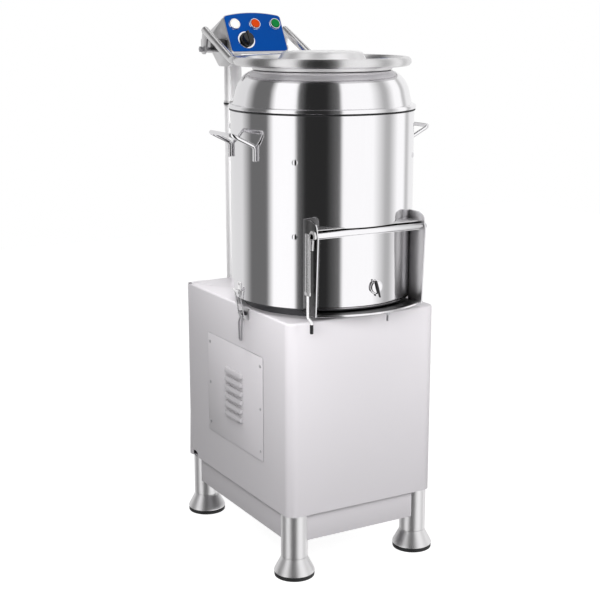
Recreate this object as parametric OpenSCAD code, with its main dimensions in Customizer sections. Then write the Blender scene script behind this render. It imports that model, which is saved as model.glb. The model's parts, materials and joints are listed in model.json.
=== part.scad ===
// Abrasive potato peeling machine that stands on the floor.
// A sheet steel cabinet on four legs holds the motor. A polished drum with an abrasive lining stands on it.
// A spinning abrasive disc throws the potatoes round, water washes the peel into the base pan, and a curved
// door at the front lets the potatoes out.
// Sizes are in millimetres. The sizes below are taken from the floor and from the vertical axis of the drum,
// with the front of the machine towards -Y.

/* [Cabinet] */
// Width of the cabinet
cab_w = 380; // [360:1:400]
// Height of the cabinet's bottom edge above the floor
cab_bottom_z = 147; // [140:1:155]
// Height of the cabinet's top above the floor
cab_top_z = 585; // [580:1:590]
// Thickness of the sheet
cab_wall = 2.5; // [2:0.1:3]
// Radius of the upright edges
cab_corner_r = 22; // [15:1:28]
// Radius of the bend round the top
cab_edge_r = 5; // [4:0.5:8]
// Distance from the front face back to the axis of the drum
drum_setback = 184; // [182:1:188]
// Thickness of the base frame's plate
frame_t = 4; // [3:0.5:6]
// Width of the base frame's plate
frame_rim = 62; // [60:1:64]

/* [Skirt] */
// Height of the skirt's bottom edge above the floor
skirt_z = 85; // [75:1:100]
// How far the skirt stands back from the cabinet's faces
skirt_recess = 8; // [6:0.5:12]
// Thickness of the skirt
skirt_t = 2.5; // [2:0.1:3]

/* [Legs] */
// Diameter of a leg tube
leg_d = 60; // [56:1:62]
// Wall of a leg tube
leg_wall = 2.5; // [2:0.5:4]
// Distance from the cabinet's faces to a leg's centre
leg_inset = 31; // [30:0.5:34]
// Height above the floor where the foot bell begins
bell_top_z = 44; // [42:1:60]
// Diameter of the foot bell at its bottom
bell_d = 92; // [84:1:98]
// Thickness of the rubber pad
pad_h = 10; // [8:0.5:14]
// Diameter of the rubber pad
pad_d = 90; // [80:1:92]

/* [Access panel] */
// Width of the panel
panel_w = 277; // [260:1:290]
// Height of the panel
panel_h = 243; // [225:1:255]
// Distance from the cabinet's front face to the panel
panel_front = 115; // [100:1:125]
// Height of the panel's bottom edge above the floor
panel_z = 243; // [230:1:260]
// Thickness of the panel
panel_t = 1.5; // [1.2:0.1:2]
// How far the panel laps over the cabinet's opening
panel_lap = 14; // [12:1:18]
// Number of louvres
louvre_count = 6; // [4:1:7]
// Distance from one louvre to the next
louvre_pitch = 20.8; // [18:0.1:22]
// Length of a louvre
louvre_l = 84; // [70:1:100]
// How far a louvre stands out
louvre_out = 7; // [5:0.5:8]

/* [Drum] */
// Outer radius of the drum
drum_r = 205; // [203:0.5:207]
// Thickness of the drum's sheet
drum_t = 2.5; // [2:0.1:3]
// Height of the base pan under the drum
pan_h = 22; // [20:0.5:24]
// Outer radius of the base pan's body
pan_r = 178; // [170:1:180]
// Height of the drum's top rim above the floor
drum_top_z = 1018; // [1005:1:1030]
// Thickness of the abrasive lining
liner_t = 4.5; // [3:0.5:6]
// Thickness of the rim gasket
gasket_t = 2.5; // [2:0.5:4]

/* [Hood] */
// Height of the hood's top above the floor
hood_top_z = 1108; // [1100:1:1115]
// Radius of the flat ring round the hood's mouth
hood_flat_r = 134; // [132:1:136]
// Radius of the hood's mouth
mouth_r = 128; // [120:1:130]
// Radius of the hood's shoulder
shoulder_r = 60; // [56:1:62]
// Slope of the hood's side from upright, in degrees
hood_slope = 12; // [11:0.5:13]
// Thickness of the hood's sheet
hood_t = 2; // [1.5:0.1:2.5]
// How far the bead stands out round the hood's edge
bead_out = 4; // [3:0.5:6]
// Height of that bead
bead_h = 11; // [9:0.5:13]

/* [Lid] */
// Radius of the lid ring, to the middle of its tube
ring_r = 187; // [184:1:190]
// Radius of the lid ring's tube
ring_tube_r = 10; // [9:0.5:11]
// Height of the lid ring above the hood's top
ring_lift = 16; // [15:0.5:18]
// Thickness of the lid's plate
lid_t = 3; // [2:0.5:4]
// Radius of the crown at its foot
crown_r = 104; // [90:1:110]
// Height of the crown
crown_h = 28; // [20:1:32]
// Gap between the closed lid and the hood
lid_gap = 0.5; // [0.3:0.1:0.8]
// Height of the lid's hinge axis above the lid ring
hinge_up = 20; // [18:1:22]
// Distance of the lid's hinge axis behind the drum's axis
hinge_y = 289; // [285:1:294]
// Height of the arms' upper ends above the lid ring
arm_rise = 66; // [60:1:70]

/* [Control head] */
// Sideways place of the column
head_x = -44; // [-60:1:-30]
// Diameter of the column
column_d = 42; // [38:1:46]
// Gap between the column and the cabinet's rear wall
column_gap = 3; // [2:0.5:6]
// Width of the control box
box_w = 150; // [146:1:156]
// Height of the control box at the top of its fascia
box_h = 88; // [84:1:90]
// How far the fascia's top leans back
box_lean = 47; // [44:1:52]
// Depth of the control box's base
box_d = 165; // [160:1:170]
// Distance from the drum's axis back to the foot of the fascia
fascia_y = 207; // [204:1:212]
// Height of the control box's rear wall
box_back_h = 27; // [24:1:36]
// Rise of the arched top
arch_rise = 9; // [5:0.5:12]
// Thickness of the control box's sheet
box_t = 2; // [1.5:0.1:2.5]
// Radius of the hinge shaft
shaft_r = 5; // [4:0.5:6]
// Width of the lid switch beside the control box
switch_w = 19; // [16:1:21]
// Distance from the lid switch to the middle of a lid arm
arm_gap = 12; // [11:0.5:14]
// Diameter of a button's bezel
bezel_d = 28; // [26:0.5:30]
// Distance from one button to the next
button_pitch = 53; // [48:1:56]
// Travel of a button
button_travel = 4; // [3:0.5:5]
// Diameter of the timer knob's dial
dial_d = 43; // [38:1:46]

/* [Discharge door] */
// Half the distance between the inner faces of the cheeks
chute_half = 134.5; // [128:0.5:136]
// Thickness of a cheek
cheek_t = 3; // [2:0.5:4]
// Height of the cheeks' top above the floor
cheek_top_z = 803; // [796:1:815]
// Height of the hinge bar above the floor
bar_z = 773; // [765:1:780]
// Radius of the hinge bar
bar_r = 6.5; // [6:0.25:8]
// Radius of the lip round the drum's axis
lip_r = 240; // [235:1:245]
// Gap round the door
door_gap = 1; // [0.5:0.1:1.5]

/* [Handles] */
// Diameter of the handles' rod
rod_d = 9; // [8:0.5:11]
// How far a grip stands off the drum
grip_out = 47; // [40:1:55]
// Distance between a handle's feet
handle_span = 114; // [100:1:125]
// Height of the grips above the floor
grip_z = 975; // [960:1:985]

/* [Toggle latches] */
// Distance of the latches behind the drum's axis
latch_y = 12; // [5:1:25]
// Length of a latch lever
latch_l = 62; // [55:1:66]
// Distance from the lever's pivot to the bail's pivot
latch_throw = 6; // [5:0.5:7]

/* [Drive] */
// Diameter of the main shaft
main_d = 25; // [24:1:28]
// Outer radius of the turntable
table_r = 190; // [186:1:192]
// Radius of the large pulley's rim
big_pulley_r = 100; // [90:1:105]
// Radius of the motor pulley's rim
small_pulley_r = 26; // [22:1:30]
// Gap between the motor and the cabinet's rear wall
motor_gap = 39; // [34:1:44]
// Radius of the motor
motor_r = 72; // [68:1:76]
// Height of the pulleys above the floor
pulley_z = 392; // [385:1:400]
// Width of the belt
belt_w = 14; // [12:1:18]
// Thickness of the belt
belt_t = 5; // [4:0.5:7]

/* [Hidden] */
$fn = 96;

// Running gap between a shaft and its bore
run_gap = 0.05;
// Gap between pieces that move past each other
free_gap = 0.3;
// Distance that a cutting shape runs past the piece it cuts
past = 1;

// How far the control box reaches past the column
box_past = 1;
column_y = fascia_y + box_d - box_past - column_d / 2;
front_y = -drum_setback;
back_y = column_y - column_d / 2 - column_gap;
cab_d = back_y - front_y;
cab_mid_y = (front_y + back_y) / 2;
pan_top_z = cab_top_z + pan_h;
flange_t = 3;
clamp_t = 2.5;
rear_reach = column_y + column_d / 2 + clamp_t;
// The finished machine stands with the middle of its box over the origin
axis_y = (lip_r - rear_reach) / 2;

// Puts a piece that is drawn about the drum's axis into the machine's frame
module place() {
  translate([0, axis_y, 0]) children();
}

module rounded_rect(w, d, r) {
  square([w - 2 * r, d], center = true);
  square([w, d - 2 * r], center = true);
  for (x = [-1, 1], y = [-1, 1])
    translate([x * (w / 2 - r), y * (d / 2 - r)]) circle(r);
}

// Block with upright rounded edges and a rolled top edge
module soft_block(w, d, z0, z1, corner, edge) {
  translate([0, 0, z0]) linear_extrude(z1 - edge - z0) rounded_rect(w, d, corner);
  translate([0, 0, z0]) linear_extrude(z1 - z0) rounded_rect(w - 2 * edge, d - 2 * edge, corner - edge);
  for (x = [-1, 1], y = [-1, 1])
    translate([x * (w / 2 - corner), y * (d / 2 - corner), z1 - edge])
      rotate_extrude() translate([corner - edge, 0]) circle(edge);
  for (y = [-1, 1])
    translate([corner - w / 2, y * (d / 2 - edge), z1 - edge])
      rotate([0, 90, 0]) cylinder(h = w - 2 * corner, r = edge);
  for (x = [-1, 1])
    translate([x * (w / 2 - edge), d / 2 - corner, z1 - edge])
      rotate([90, 0, 0]) cylinder(h = d - 2 * corner, r = edge);
}

// Flat plate drawn in the YZ plane, from x0 to x0 + t
module plate_yz(x0, t) {
  translate([x0, 0, 0]) rotate([90, 0, 90]) linear_extrude(t) children();
}

// Round bar from p to q
module bar(p, q, r) {
  d = q - p;
  len = norm(d);
  translate(p) rotate([0, acos(d[2] / len), atan2(d[1], d[0])]) cylinder(h = len, r = r);
}

// Round bar bent along a list of points, with ball corners that are a little fuller than the bar
module bent_bar(points, r, fuller = 1.03) {
  $fn = 36;
  for (i = [0 : len(points) - 2]) bar(points[i], points[i + 1], r);
  for (p = points) translate(p) sphere(fuller * r);
}

// Cylinder along X from x0 to x1, through a point given by its y and z
module along_x(x0, x1, y, z, r) {
  translate([x0, y, z]) rotate([0, 90, 0]) cylinder(h = x1 - x0, r = r);
}

// Upright tube
module tube(z0, z1, r_out, r_in) {
  translate([0, 0, z0]) difference() {
    cylinder(h = z1 - z0, r = r_out);
    translate([0, 0, -past]) cylinder(h = z1 - z0 + 2 * past, r = r_in);
  }
}

// Places of the legs
leg_x = cab_w / 2 - leg_inset;
leg_front_y = front_y + leg_inset;
leg_back_y = back_y - leg_inset;
leg_places = [[-leg_x, leg_front_y], [leg_x, leg_front_y], [-leg_x, leg_back_y], [leg_x, leg_back_y]];

// Drain and inlet
drain_x = 62;
drain_y = 130;
drain_r = 20;
drain_wall = 2;
drain_z = cab_top_z - 45;
// Lock nut outside the rear wall and the spigot for the hose
drain_nut_r = 26;
drain_nut_t = 5;
spigot_r = 18;
spigot_l = 26;

housing_r = 42;
panel_mid_y = front_y + panel_front + panel_w / 2;
panel_mid_z = panel_z + panel_h / 2;
notch_w = 44;
notch_h = 14;

module cabinet_shell() {
  inner_w = cab_w - 2 * cab_wall;
  inner_d = cab_d - 2 * cab_wall;
  color("gainsboro") place() difference() {
    translate([0, cab_mid_y, 0]) soft_block(cab_w, cab_d, cab_bottom_z, cab_top_z, cab_corner_r, cab_edge_r);
    translate([0, cab_mid_y, cab_bottom_z - past])
      linear_extrude(cab_top_z - cab_wall - cab_bottom_z + past)
        rounded_rect(inner_w, inner_d, cab_corner_r - cab_wall);
    // Opening behind the access panel
    translate([-cab_w / 2 - past, panel_mid_y - panel_w / 2 + panel_lap, panel_z + panel_lap])
      cube([cab_wall + 2 * past, panel_w - 2 * panel_lap, panel_h - 2 * panel_lap]);
    // Lifting notch above the rear left leg
    plate_yz(-cab_w / 2 - past, cab_wall + 2 * past)
      polygon([[leg_back_y - notch_w / 2, cab_bottom_z - past], [leg_back_y + notch_w / 2, cab_bottom_z - past],
        [leg_back_y + notch_w / 2, cab_bottom_z + notch_h], [leg_back_y - notch_w / 4, cab_bottom_z + notch_h]]);
    // Holes for the bearing housing and the drain
    translate([0, 0, cab_top_z - cab_wall - past]) cylinder(h = cab_wall + 2 * past, r = housing_r);
    translate([drain_x, drain_y, cab_top_z - cab_wall - past])
      cylinder(h = cab_wall + 2 * past, r = drain_r);
    translate([drain_x, back_y + past, drain_z]) rotate([90, 0, 0])
      cylinder(h = cab_wall + 2 * past, r = drain_r);
  }
}

module base_frame() {
  w = cab_w - 2 * cab_wall;
  d = cab_d - 2 * cab_wall;
  color("silver") place() translate([0, cab_mid_y, cab_bottom_z]) linear_extrude(frame_t) difference() {
    rounded_rect(w, d, cab_corner_r - cab_wall);
    square([w - 2 * frame_rim, d - 2 * frame_rim], center = true);
  }
}

module skirt() {
  w = cab_w - 2 * skirt_recess;
  d = cab_d - 2 * skirt_recess;
  r = cab_corner_r - skirt_recess;
  color("gainsboro") place() difference() {
    translate([0, cab_mid_y, skirt_z]) linear_extrude(cab_bottom_z - skirt_z) difference() {
      rounded_rect(w, d, r);
      rounded_rect(w - 2 * skirt_t, d - 2 * skirt_t, r - skirt_t);
    }
    for (p = leg_places)
      translate([p[0], p[1], skirt_z - past]) cylinder(h = cab_bottom_z - skirt_z + 2 * past, r = leg_d / 2);
  }
}

module leg(i) {
  color("lightgray") place() translate([leg_places[i][0], leg_places[i][1], 0])
    tube(bell_top_z, cab_bottom_z, leg_d / 2, leg_d / 2 - leg_wall);
}

// Spun bell: a cone that leaves the tube's edge and meets a rolled rim, with a spigot inside the tube
module foot_bells() {
  rim_r = 3.5;
  top_r = leg_d / 2;
  out = bell_d / 2 - rim_r - top_r;
  h = bell_top_z - pad_h - rim_r;
  slope = atan(out / h) + asin(rim_r / norm([out, h]));
  spigot_h = 18;
  color("darkgray") place() for (p = leg_places) translate([p[0], p[1], 0]) {
    rotate_extrude() {
      polygon([[0, pad_h], [top_r + out, pad_h],
        [top_r + out + rim_r * cos(slope), pad_h + rim_r + rim_r * sin(slope)],
        [top_r, bell_top_z], [0, bell_top_z]]);
      translate([top_r + out, pad_h + rim_r]) circle(rim_r);
    }
    translate([0, 0, bell_top_z]) cylinder(h = spigot_h, r = top_r - leg_wall);
  }
}

module foot_pads() {
  edge = 2;
  color("black") place() for (p = leg_places) translate([p[0], p[1], 0]) rotate_extrude() {
    square([pad_d / 2 - edge, pad_h]);
    translate([0, edge]) square([pad_d / 2, pad_h - edge]);
    translate([pad_d / 2 - edge, edge]) circle(edge);
  }
}

// Panel with pressed louvres that open downwards
module access_panel() {
  face_x = -cab_w / 2 - panel_t;
  sheet = 1.3;
  first_z = panel_mid_z - louvre_pitch * (louvre_count - 1) / 2 - louvre_out / 2;
  color("gainsboro") place() {
    difference() {
      plate_yz(face_x, panel_t) translate([panel_mid_y, panel_mid_z]) rounded_rect(panel_w, panel_h, 3);
      for (i = [0 : louvre_count - 1])
        translate([face_x - past, panel_mid_y - louvre_l / 2 + sheet, first_z + i * louvre_pitch])
          cube([panel_t + 2 * past, louvre_l - 2 * sheet, louvre_out - sheet]);
      for (p = panel_screw_places)
        translate([face_x - past, p[0], p[1]]) rotate([0, 90, 0]) cylinder(h = panel_t + 2 * past, r = 2);
    }
    for (i = [0 : louvre_count - 1])
      translate([face_x, panel_mid_y, first_z + i * louvre_pitch]) intersection() {
        difference() {
          rotate([90, 0, 0]) cylinder(h = louvre_l, r = louvre_out, center = true);
          rotate([90, 0, 0]) cylinder(h = louvre_l - 2 * sheet, r = louvre_out - sheet, center = true);
        }
        translate([-louvre_out, -louvre_l / 2, 0]) cube([louvre_out, louvre_l, louvre_out]);
      }
  }
}

panel_screw_in = 12;
panel_screw_places = [for (y = [-1, 1], z = [-1, 0, 1])
  [panel_mid_y + y * (panel_w / 2 - panel_screw_in), panel_mid_z + z * (panel_h / 2 - 22)]];

module panel_screws() {
  color("silver") place() for (p = panel_screw_places)
    translate([-cab_w / 2 - panel_t, p[0], p[1]]) rotate([0, -90, 0]) {
      cylinder(h = 1.2, r = 3.6);
      translate([0, 0, -panel_t]) cylinder(h = panel_t, r = 2);
    }
}

// Pan under the drum: floor, wall and the flange that carries the drum
module base_pan() {
  color("dimgray") place() difference() {
    union() {
      translate([0, 0, cab_top_z]) cylinder(h = flange_t, r = pan_r);
      tube(cab_top_z, pan_top_z, pan_r, pan_r - flange_t);
      tube(pan_top_z - flange_t, pan_top_z, drum_r - 2, pan_r - flange_t);
    }
    translate([0, 0, cab_top_z - past]) cylinder(h = flange_t + 2 * past, r = housing_r);
    translate([drain_x, drain_y, cab_top_z - past]) cylinder(h = flange_t + 2 * past, r = drain_r);
  }
}

foot_flange = 15;
sill_z = pan_top_z + drum_t;
door_top_z = bar_z - 5;
opening_top_z = bar_z + 9;
liner_r = drum_r - drum_t;
screw_low_z = pan_top_z + 156;
screw_high_z = drum_top_z - 97;
screw_top_z = drum_top_z - 37;
// Domed screws: angle round the drum and height
screw_places = [[223, screw_low_z], [223, screw_high_z], [317, screw_low_z], [317, screw_high_z],
  [152, screw_top_z], [28, screw_top_z], [90, screw_low_z], [90, screw_high_z]];
shank_r = 2.5;
inlet_angle = 50;
inlet_z = drum_top_z - 68;
inlet_r = 10;

module door_way() {
  translate([-chute_half, -drum_r - past, sill_z])
    cube([2 * chute_half, drum_r, opening_top_z - sill_z]);
}

module screw_holes() {
  for (p = screw_places)
    rotate([0, 0, p[0]]) translate([0, 0, p[1]]) rotate([0, 90, 0]) cylinder(h = drum_r + past, r = shank_r);
  rotate([0, 0, inlet_angle]) translate([0, 0, inlet_z]) rotate([0, 90, 0])
    cylinder(h = drum_r + past, r = inlet_r);
}

module drum_shell() {
  color("silver") place() difference() {
    union() {
      tube(pan_top_z, drum_top_z, drum_r, drum_r - drum_t);
      tube(pan_top_z, sill_z, drum_r, drum_r - foot_flange);
    }
    door_way();
    screw_holes();
  }
}

module abrasive_liner() {
  liner_foot = 8;
  liner_head = 22;
  color("tan") place() difference() {
    tube(sill_z + liner_foot, drum_top_z - liner_head, liner_r, liner_r - liner_t);
    door_way();
    screw_holes();
  }
}

module liner_screws() {
  head_r = 6.5;
  head_h = 3;
  dome = (head_r * head_r + head_h * head_h) / (2 * head_h);
  color("silver") place() for (p = screw_places)
    rotate([0, 0, p[0]]) translate([0, 0, p[1]]) rotate([0, 90, 0]) {
      translate([0, 0, drum_r - drum_t - liner_t]) cylinder(h = drum_t + liner_t + 1, r = shank_r);
      intersection() {
        translate([0, 0, drum_r + head_h - dome]) sphere(dome, $fn = 40);
        translate([0, 0, drum_r]) cylinder(h = 2 * head_h, r = head_r + 1);
      }
    }
}

module rim_gasket() {
  color("black") place() tube(drum_top_z, drum_top_z + gasket_t, drum_r + 2.5, drum_r - 6);
}

hood_z = drum_top_z + gasket_t;
shoulder_z = hood_top_z - shoulder_r;

// Outline of the hood, drawn as radius and height, reduced by an inset
module hood_outline(inset) {
  r = shoulder_r - inset;
  top = shoulder_z + r;
  side_r = hood_flat_r + r * cos(hood_slope);
  side_z = shoulder_z + r * sin(hood_slope);
  translate([hood_flat_r, shoulder_z]) intersection() {
    circle(r);
    square([shoulder_r, shoulder_r]);
  }
  polygon([[0, hood_z - past], [side_r + (side_z - hood_z + past) * tan(hood_slope), hood_z - past],
    [side_r, side_z], [hood_flat_r, top], [0, top]]);
}

module hood() {
  foot_r = drum_r - 6;
  color("silver") place() rotate_extrude() {
    intersection() {
      difference() {
        hood_outline(0);
        hood_outline(hood_t);
      }
      translate([mouth_r, hood_z]) square([drum_r, hood_top_z - hood_z]);
    }
    // Flat foot on the gasket and round bead
    translate([foot_r, hood_z]) square([drum_r - foot_r, 3]);
    intersection() {
      translate([drum_r + bead_out - bead_h / 2, hood_z + bead_h / 2]) circle(bead_h / 2);
      translate([foot_r, hood_z]) square([drum_r, bead_h]);
    }
    // Rolled edge of the mouth
    translate([mouth_r, hood_top_z - 3]) circle(3);
  }
}

module handles() {
  foot_r = drum_r + rod_d / 2;
  foot_x = sqrt(foot_r * foot_r - handle_span * handle_span / 4);
  foot_low_z = grip_z - 57;
  foot_high_z = grip_z - 25;
  grip_x = drum_r + grip_out;
  h = handle_span / 2;
  color("silver") place() for (side = [-1, 1])
    bent_bar([[side * foot_x, -h, foot_low_z], [side * foot_x, -h, foot_high_z], [side * grip_x, -h, grip_z],
      [side * grip_x, h, grip_z], [side * foot_x, h, foot_high_z], [side * foot_x, h, foot_low_z]], rod_d / 2);
}

// Discharge chute
cheek_low_z = pan_top_z - 8.5;
floor_t = 2.5;
cheek_low_y = -206;
cheek_high_y = -188;
bar_y = -204;
ear_r = 11;
cheek_nose = 12;

module chute_cheeks() {
  color("silver") place() for (side = [-1, 1]) difference() {
    plate_yz(side > 0 ? chute_half : -chute_half - cheek_t, cheek_t) difference() {
      union() {
        polygon([[-drum_r * 0.6, cheek_low_z], [cheek_low_y, cheek_low_z], [cheek_high_y, cheek_top_z - cheek_nose],
          [cheek_high_y + cheek_nose, cheek_top_z], [-drum_r * 0.6, cheek_top_z]]);
        translate([cheek_high_y + cheek_nose, cheek_top_z - cheek_nose]) circle(cheek_nose);
        translate([bar_y, bar_z]) circle(ear_r);
        translate([bar_y, bar_z - ear_r]) square([-bar_y + cheek_high_y + 1, 2 * ear_r]);
      }
      translate([bar_y, bar_z]) circle(bar_r + run_gap);
    }
    translate([0, 0, pan_top_z]) cylinder(h = cheek_top_z, r = drum_r);
    translate([0, 0, cab_top_z]) cylinder(h = 2 * pan_h, r = drum_r - 2);
  }
  // Roof plate over the door's hinge bar, welded between the cheeks
  color("silver") place() difference() {
    translate([-chute_half, cheek_high_y - 8, opening_top_z]) cube([2 * chute_half, drum_r * 0.3, 2]);
    translate([0, 0, cab_top_z]) cylinder(h = drum_r * 2, r = drum_r);
  }
}

module chute_floor() {
  edge_r = 2.2;
  color("silver") place() intersection() {
    union() {
      tube(cheek_low_z, cheek_low_z + floor_t, lip_r - edge_r, pan_r);
      translate([0, 0, cheek_low_z + floor_t / 2]) rotate_extrude() translate([lip_r - edge_r, 0]) circle(edge_r);
    }
    translate([-chute_half, -lip_r - past, cheek_low_z - pan_h])
      cube([2 * chute_half, lip_r - drum_r * 0.6, 2 * pan_h]);
  }
}

module lip_stud() {
  stud_x = 32;
  stud_y = 13 - lip_r;
  stud_l = 22;
  nut_h = 8;
  color("dimgray") place() translate([stud_x, stud_y, 0]) {
    translate([0, 0, cheek_low_z - stud_l]) cylinder(h = stud_l, r = 3);
    translate([0, 0, cheek_low_z - nut_h]) cylinder(h = nut_h, r = 5.5, $fn = 6);
  }
}

// Toggle latches: the lever's pivot and the bail's pivot
latch_out = cab_w / 2 + 11;
latch_z = cab_top_z - 13;
catch_z = latch_z + 56;
bail_out = drum_r + 6;
wire_r = 1.5;
pin_r = 1.6;
bail_half = 12;

// Draws a latch piece on the right (side 1) or the left (side -1) with Y measured from the latch's middle
module at_latch(side) {
  place() mirror([side > 0 ? 0 : 1, 0, 0]) translate([0, latch_y, 0]) children();
}

module latch_catches() {
  plate_t = 1.5;
  tongue_t = 2;
  tongue_z = -wire_r - tongue_t;
  color("silver") for (side = [-1, 1])
    at_latch(side) translate([0, -latch_y, catch_z]) rotate([0, 0, asin(latch_y / drum_r)]) translate([drum_r, 0, 0]) {
      translate([0, -10, -14]) cube([plate_t, 20, 30]);
      translate([0, -8, tongue_z]) cube([16, 16, tongue_t]);
      translate([14, -8, tongue_z]) cube([2, 16, tongue_t + 4]);
      for (z = [-9, 11]) translate([0, 0, z]) rotate([0, 90, 0]) cylinder(h = plate_t + 1.2, r = 2.5);
    }
}

module latch_bases() {
  ear_t = 2.2;
  ear_in = 7;
  color("black") for (side = [-1, 1]) at_latch(side) {
    translate([cab_w / 2, -18, latch_z - 15]) cube([2, 36, 26]);
    for (y = [-ear_in - ear_t, ear_in]) {
      translate([cab_w / 2, y, latch_z - 4]) cube([latch_out - cab_w / 2, ear_t, 8]);
      translate([latch_out, y + ear_t, latch_z]) rotate([90, 0, 0]) cylinder(h = ear_t, r = 4);
    }
    translate([latch_out, ear_in, latch_z]) rotate([90, 0, 0]) cylinder(h = 2 * ear_in, r = pin_r);
  }
}

module latch_lever(side) {
  lug_t = 3.5;
  color("silver") at_latch(side) difference() {
    union() {
      for (y = [-3, 3 + lug_t]) translate([latch_out, y, latch_z]) rotate([90, 0, 0]) {
        cylinder(h = lug_t, r = 4);
        translate([0, -latch_throw, 0]) cylinder(h = lug_t, r = 3.5);
        translate([-3.5, -latch_throw, 0]) cube([7, latch_throw, lug_t]);
      }
      bent_bar([[latch_out, -5, latch_z - 10], [latch_out + 3, -7.5, latch_z - 20],
        [latch_out + 3, -4, latch_z - latch_l], [latch_out + 3, 4, latch_z - latch_l],
        [latch_out + 3, 7.5, latch_z - 20], [latch_out, 5, latch_z - 10]], 2.2);
    }
    translate([latch_out, 20, latch_z]) rotate([90, 0, 0]) cylinder(h = 40, r = pin_r + run_gap);
    translate([latch_out, 20, latch_z - latch_throw]) rotate([90, 0, 0])
      cylinder(h = 40, r = wire_r + run_gap);
  }
}

module latch_bail(side) {
  pivot_z = latch_z - latch_throw;
  color("silver") at_latch(side) bent_bar([[latch_out, -3.5, pivot_z], [latch_out, -bail_half, pivot_z],
    [bail_out, -bail_half, catch_z], [bail_out, bail_half, catch_z], [latch_out, bail_half, pivot_z],
    [latch_out, 3.5, pivot_z]], wire_r);
}

module latch_lever_left() { latch_lever(-1); }

module latch_lever_right() { latch_lever(1); }

module latch_bail_left() { latch_bail(-1); }

module latch_bail_right() { latch_bail(1); }

// Control column and head
ring_z = hood_top_z + ring_lift;
hinge_z = ring_z + hinge_up;
base_z = hinge_z - shaft_r - 1;
bracket_t = 4;
column_low_z = 250;
column_top_z = base_z - bracket_t;
lean = atan(box_lean / box_h);
slope_l = norm([box_lean, box_h]);
box_half = box_w / 2;
arm_x = box_half + switch_w + arm_gap;

module column() {
  color("lightgray") place() translate([head_x, column_y, 0])
    tube(column_low_z, column_top_z, column_d / 2, column_d / 2 - 2);
}

module column_clamps() {
  half_h = 14;
  ear_x = column_d / 2 + clamp_t + 18.5;
  bolt_x = column_d / 2 + clamp_t + 9.5;
  color("silver") place() for (z = [column_low_z + 50, cab_top_z - 45]) translate([head_x, column_y, z]) {
    difference() {
      union() {
        tube(-half_h, half_h, column_d / 2 + clamp_t, column_d / 2);
        translate([-ear_x, -column_d / 2 - column_gap, -half_h]) cube([2 * ear_x, column_gap, 2 * half_h]);
      }
      translate([0, 0, -half_h - past]) cylinder(h = 2 * half_h + 2 * past, r = column_d / 2);
    }
    for (x = [-bolt_x, bolt_x])
      translate([x, -column_d / 2, 0]) rotate([-90, 0, 0]) cylinder(h = 5, r = 6, $fn = 6);
  }
  // Collar with a clip for the hose
  color("black") place() translate([head_x, column_y, drum_top_z - 14])
    tube(0, 14, column_d / 2 + clamp_t, column_d / 2);
}

module head_bracket() {
  side_t = 2.5;
  side_h = 33;
  heel_h = 7;
  heel_l = 16;
  foot_l = 63;
  side_l = 100;
  color("silver") place() {
    translate([head_x - box_half, fascia_y, base_z - bracket_t]) cube([box_w, box_d, bracket_t]);
    for (x = [head_x - box_half - side_t, head_x + box_half])
      plate_yz(x, side_t) translate([fascia_y, base_z])
        polygon([[0, 0], [0, heel_h - side_h], [heel_l, -side_h], [foot_l, -side_h], [side_l, -1], [side_l, 0]]);
  }
}

// Side outline of the control box, reduced by an inset: fascia, brow, crest, knee and rear wall
module box_side(i) {
  brow = 0.89;
  crest_y = box_lean + 2;
  crest_drop = 11;
  knee_y = 100;
  knee_drop = 34;
  down = 1.1 * i;
  low = i > 0 ? -past : 0;
  translate([fascia_y, base_z])
    polygon([[i / cos(lean), low], [brow * box_lean + i / cos(lean), brow * box_h - i],
      [crest_y, box_h - crest_drop - down], [knee_y, box_h - knee_drop - down],
      [box_d - i, box_back_h - down], [box_d - i, low]]);
}

// Puts a piece on the sloping fascia: X across, Y up the slope, Z outwards
module on_fascia() {
  place() translate([head_x, fascia_y, base_z]) rotate([90 - lean, 0, 0]) children();
}

// Fascia outline with an arched top, reduced by an inset
module fascia_outline(i) {
  corner = 9 - i;
  half = box_half - i;
  full_arch_r = (box_half * box_half + arch_rise * arch_rise) / (2 * arch_rise);
  arch_r = full_arch_r - i;
  arch_y = slope_l + 2 - full_arch_r;
  cx = half - corner;
  cy = arch_y + sqrt((arch_r - corner) * (arch_r - corner) - cx * cx);
  tx = cx * arch_r / (arch_r - corner);
  intersection() {
    translate([0, arch_y]) circle(arch_r, $fn = 360);
    translate([-tx, cy]) square([2 * tx, slope_l]);
  }
  translate([-cx, i]) square([2 * cx, cy - i]);
  translate([-half, i + corner]) square([2 * half, cy - i - corner]);
  for (x = [-cx, cx], y = [i + corner, cy]) translate([x, y]) circle(corner);
}

front_t = 2;
fascia_t = 1.5;
lamp_at = [-button_pitch + 1, 69.5];
stop_at = [1, 69.5];
start_at = [button_pitch + 1, 69.5];
timer_at = [-29.7, 30.3];
stem_r = 5;
stem_gap = 0.3;

module fascia_holes() {
  for (p = [stop_at, start_at, timer_at])
    translate([p[0], p[1], -past - front_t]) cylinder(h = front_t + fascia_t + 2 * past, r = stem_r + stem_gap);
}

module control_box() {
  color("silver") difference() {
    union() {
      place() plate_yz(head_x - box_half, box_w) box_side(0);
      on_fascia() translate([0, 0, -front_t]) linear_extrude(front_t) fascia_outline(0);
    }
    place() plate_yz(head_x - box_half + box_t, box_w - 2 * box_t) box_side(box_t);
    place() along_x(head_x - box_w, head_x + box_w, hinge_y, hinge_z, shaft_r);
    on_fascia() fascia_holes();
    place() translate([head_x - box_w, fascia_y - box_h, base_z - box_h]) cube([2 * box_w, 2 * box_h, box_h]);
  }
}

module fascia() {
  color("steelblue") on_fascia() difference() {
    linear_extrude(fascia_t) fascia_outline(2.5);
    fascia_holes();
  }
}

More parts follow.
